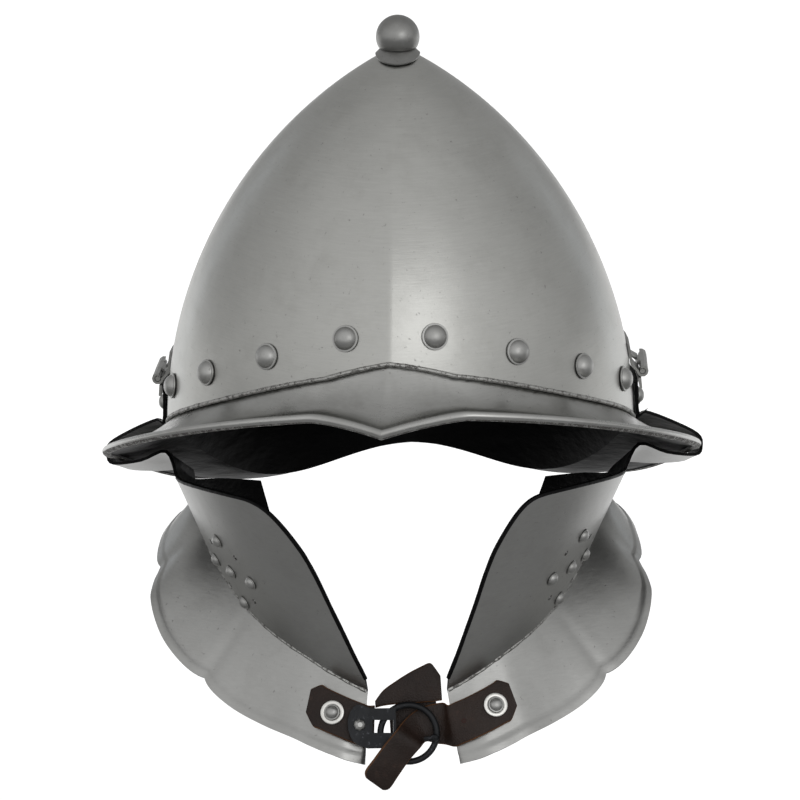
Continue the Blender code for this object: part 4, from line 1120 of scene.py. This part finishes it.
half = STRAP_WIDTH / 2.0
left_angles = ([LEFT_END, LEFT_END + 2.5] + spread(LEFT_END + 4.0, -JAW_FIRST, 5)
               + [LEFT_INNER])
halves = [half - STRAP_CHAMFER] + [half] * (len(left_angles) - 1)
leather_band("left_leather", [strap_frame(a, STRAP_FACE) for a in left_angles], halves,
             STRAP_THICKNESS, ["strap_left"])

# %% [markdown]
# The right strap goes behind the ring, up through it, and hangs in front as a
# tongue. The spare leather above the ring is folded up behind it.

# %% Right strap and fold
TONGUE_ROWS = (
    (16.5, -3.3, -4.2, 9.7, 0.0, 0.0), (10.5, -3.2, -4.5, 9.0, 10.0, 0.0),
    (6.5, -2.5, -4.3, 8.0, 25.0, 0.0), (2.5, -0.5, -1.0, 7.0, 45.0, 5.0),
    (-0.5, 2.5, 4.4, 7.0, 50.0, 14.0), (-6.0, 8.0, 4.5, 7.0, 50.0, 18.0),
    (-11.5, 14.5, 4.2, 7.2, 50.0, 20.0), (-16.0, 20.0, 3.2, 7.2, 50.0, 20.0),
    (-17.6, 22.0, 2.8, 4.5, 50.0, 20.0),
)
right_angles = [RIGHT_END, RIGHT_END - 2.5] + spread(RIGHT_END - 4.0, JAW_FIRST, 6)
frames = [strap_frame(a, STRAP_FACE) for a in right_angles]
halves = [half - STRAP_CHAMFER] + [half] * (len(frames) - 1)
for right, below, lift, half_width, degrees, lean in TONGUE_ROWS:
    t, tip = math.radians(degrees), math.radians(lean)
    across = ring_down * math.cos(t) + ring_right * math.sin(t)
    away = ring_right * right + ring_down * below + ring_normal * lift
    frames.append((ring_centre + away / 1000.0,
                   across * math.cos(tip) - ring_normal * math.sin(tip),
                   ring_normal * math.cos(tip) + across * math.sin(tip)))
    halves.append(half_width / 1000.0)
leather_band("right_leather", frames, halves, STRAP_THICKNESS, ["strap_right"])

FOLD_LIFT, FOLD_THICKNESS = -0.0043, 0.0022
FOLD_ROWS = (
    (-14.6, -14.2, 1.6), (-10.5, -16.9, 3.6), (-4.3, -19.0, 5.4), (2.0, -20.6, 7.2),
    (8.0, -22.0, 8.4), (12.0, -22.6, 9.0), (14.3, -21.4, 7.6), (16.8, -19.4, 5.4),
)
leather_band("folded_leather", ring_frames(FOLD_ROWS, FOLD_LIFT),
             [row[2] / 1000.0 for row in FOLD_ROWS], FOLD_THICKNESS, ["strap_fold"])

BACKING_LIFT = -0.0070
BACKING_ROWS = ((-8.5, -5.0, 5.0), (-6.0, -5.5, 7.0), (2.0, -6.5, 8.5), (10.0, -8.0, 9.5),
                (14.0, -9.0, 9.0))
leather_band("leather_backing", ring_frames(BACKING_ROWS, BACKING_LIFT),
             [row[2] / 1000.0 for row in BACKING_ROWS], FOLD_THICKNESS, [])

# %% [markdown]
# ## Washers, strap rivets and ring
# The washers use the fastener tree again, with a flat turned ring as their pattern.
# The buckle's ring is bent wire, so it is a torus lofted round its centre line.

# %% Washers and rivets of the strap
WASHER_RADIUS, WASHER_THICKNESS = 0.0055, 0.0010
WASHER = [(0.0001, 0.0), (0.97, 0.0), (1.0, 0.04), (1.0, 0.14), (0.95, 0.18), (0.72, 0.18),
          (0.66, 0.13), (0.62, 0.05), (0.0002, 0.05)]
washer = turned_head("washer_pattern", WASHER, 40)
top = STRAP_FACE + STRAP_THICKNESS + GAP
washer_seats, stud_seats = [], []
for angle in (LEFT_WASHER, RIGHT_WASHER):
    seat, _, normal = strap_frame(angle, top)
    washer_seats.append((seat, normal, 1.0))
    stud_seats.append((seat + normal * WASHER_THICKNESS, normal, 1.0))
washers = stand_fasteners("strap_washers", washer_seats, washer, WASHER_RADIUS, washer_zinc)
settle(washers, "washer_zinc", "strap_washer_left", "strap_washer_right")
# The punched hole in the right strap is not cut: a small dark disc over it is painted shade.
PUNCHED = [(0.0001, 0.0), (0.96, 0.0), (1.0, 0.06), (0.80, 0.10), (0.0002, 0.02)]
punched = turned_head("punched_pattern", PUNCHED, 20)
HOLE_ANGLE, PUNCHED_RADIUS = 17.5, 0.0012
seat, _, normal = strap_frame(HOLE_ANGLE, STRAP_FACE + STRAP_THICKNESS)
hole = stand_fasteners("strap_hole", [(seat, normal, 1.0)], punched, PUNCHED_RADIUS, hole_shade_leather)
settle(hole, "leather")
studs = stand_fasteners("strap_rivet_heads", stud_seats, dome, STRAP_RIVET_RADIUS, rivet_steel)
settle(studs, "steel", "strap_rivet_left", "strap_rivet_right")

# %% Ring
RING_STEPS, WIRE_SIDES = 72, 14
rings = []
for t in turns(RING_STEPS):
    spoke = ring_right * math.cos(t) + ring_down * math.sin(t)
    rings.append([ring_centre + spoke * (RING_RADIUS + RING_WIRE * math.cos(w))
                  + ring_normal * (RING_WIRE * math.sin(w))
                  for w in turns(WIRE_SIDES)])
wire_ring = loft("wire_ring", rings, [black_iron], closed=True)
settle(wire_ring, "black_steel", "buckle_ring")

for pattern in (dome, washer, punched):
    bpy.data.objects.remove(pattern)

# %% [markdown]
# ## Finishes for the pieces that stay
# The buckle plate, its rivet, the prong and the hinges have the right shape in the
# CAD model, so they stay and only change their finish. The hinges are bare steel.

# %% Carried-over nodes
KEPT = {"buckle_plate": black_iron, "buckle_prong": black_iron, "buckle_rivet": rivet_steel}
for tag in ("left", "right"):
    for part_name in ("hinge_skull_leaf_", "hinge_cheek_leaf_", "hinge_pin_"):
        KEPT[part_name + tag] = rivet_steel
for node_name, finish in KEPT.items():
    node = bpy.data.objects[node_name]
    for item in node.material_slots:
        item.material = finish
print("Kept CAD nodes:", len(KEPT))

# %% [markdown]
# ## The studio
# The photograph has a white ground and soft light from all round. The floor lies
# far below. Behind the helmet it turns pale and glows with painted light, so the
# picture's ground is white. The sky is brightest in front. One key light stands at
# the right front, and two narrow bluish ones behind draw pale edges on the metal.

# %% Floor, light and world
FLOOR_Z, FLOOR_HALF = -0.75, 14.0
edit = bmesh.new()
bmesh.ops.create_grid(edit, x_segments=1, y_segments=1, size=FLOOR_HALF)
floor_mesh = bpy.data.meshes.new("pale_floor")
edit.to_mesh(floor_mesh)
edit.free()
floor_mesh.transform(Matrix.Translation((0.0, 0.0, FLOOR_Z)))
pale_floor = show("pale_floor", floor_mesh)
floor_with_painted_glow, tree, shader, place = start_material("floor_with_painted_glow")
# Behind the helmet the floor turns paler and glows by emission: painted light, not a lamp.
behind = add_node(tree, "ShaderNodeSeparateXYZ", None, 1, Vector=place)
sweep = mask_up(behind * 0.5, 0.15, 0.48)
feed(tree, shader, Base_Color=mix_colours(sweep, (0.42, 0.42, 0.42), (0.93, 0.93, 0.93)),
     Roughness=0.9, Emission_Color=mix_colours(sweep, (0.0, 0.0, 0.0), (1.0, 1.0, 1.0)),
     Emission_Strength=0.5)
floor_mesh.materials.append(floor_with_painted_glow)


def area_light(name, place_at, look_at, width, height, power, tint=(1.0, 1.0, 1.0)):
    data = bpy.data.lights.new(name, "AREA")
    data.shape, data.size, data.size_y = "RECTANGLE", width, height
    data.energy, data.color = power, tint
    made = show(name, data)
    made.location = place_at
    made.rotation_euler = (Vector(look_at) - Vector(place_at)).to_track_quat("-Z", "Y").to_euler()


middle = (0.0, 0.0, -0.10)
area_light("key", (0.78, -1.60, 0.72), middle, 1.0, 0.8, 3.4)
for tag, x in (("left", -1.7), ("right", 1.7)):
    area_light("edge_" + tag, (x, 1.6, 0.10), middle, 0.25, 1.6, 0.8, (0.85, 0.92, 1.0))

world = bpy.data.worlds.new("studio_world")
world.use_nodes = True
bpy.context.scene.world = world
sky = world.node_tree
direction = add_node(sky, "ShaderNodeTexCoord", None, 0)
depth = add_node(sky, "ShaderNodeSeparateXYZ", None, 1, Vector=direction)
SKY_LEVELS = [(0.0, 0.44), (0.33, 0.50), (0.5, 0.64), (0.6, 0.78), (0.9, 1.0), (1.0, 1.0)]
feed(sky, sky.nodes["Background"], Color=ramp(0.5 - depth * 0.5, SKY_LEVELS), Strength=1.0)
bpy.context.scene.view_settings.view_transform = "Standard"
print("Lights:", len(bpy.data.lights))

# %% [markdown] ## Closing The dressed model must keep to the CAD model's box, give
# or take a millimetre.
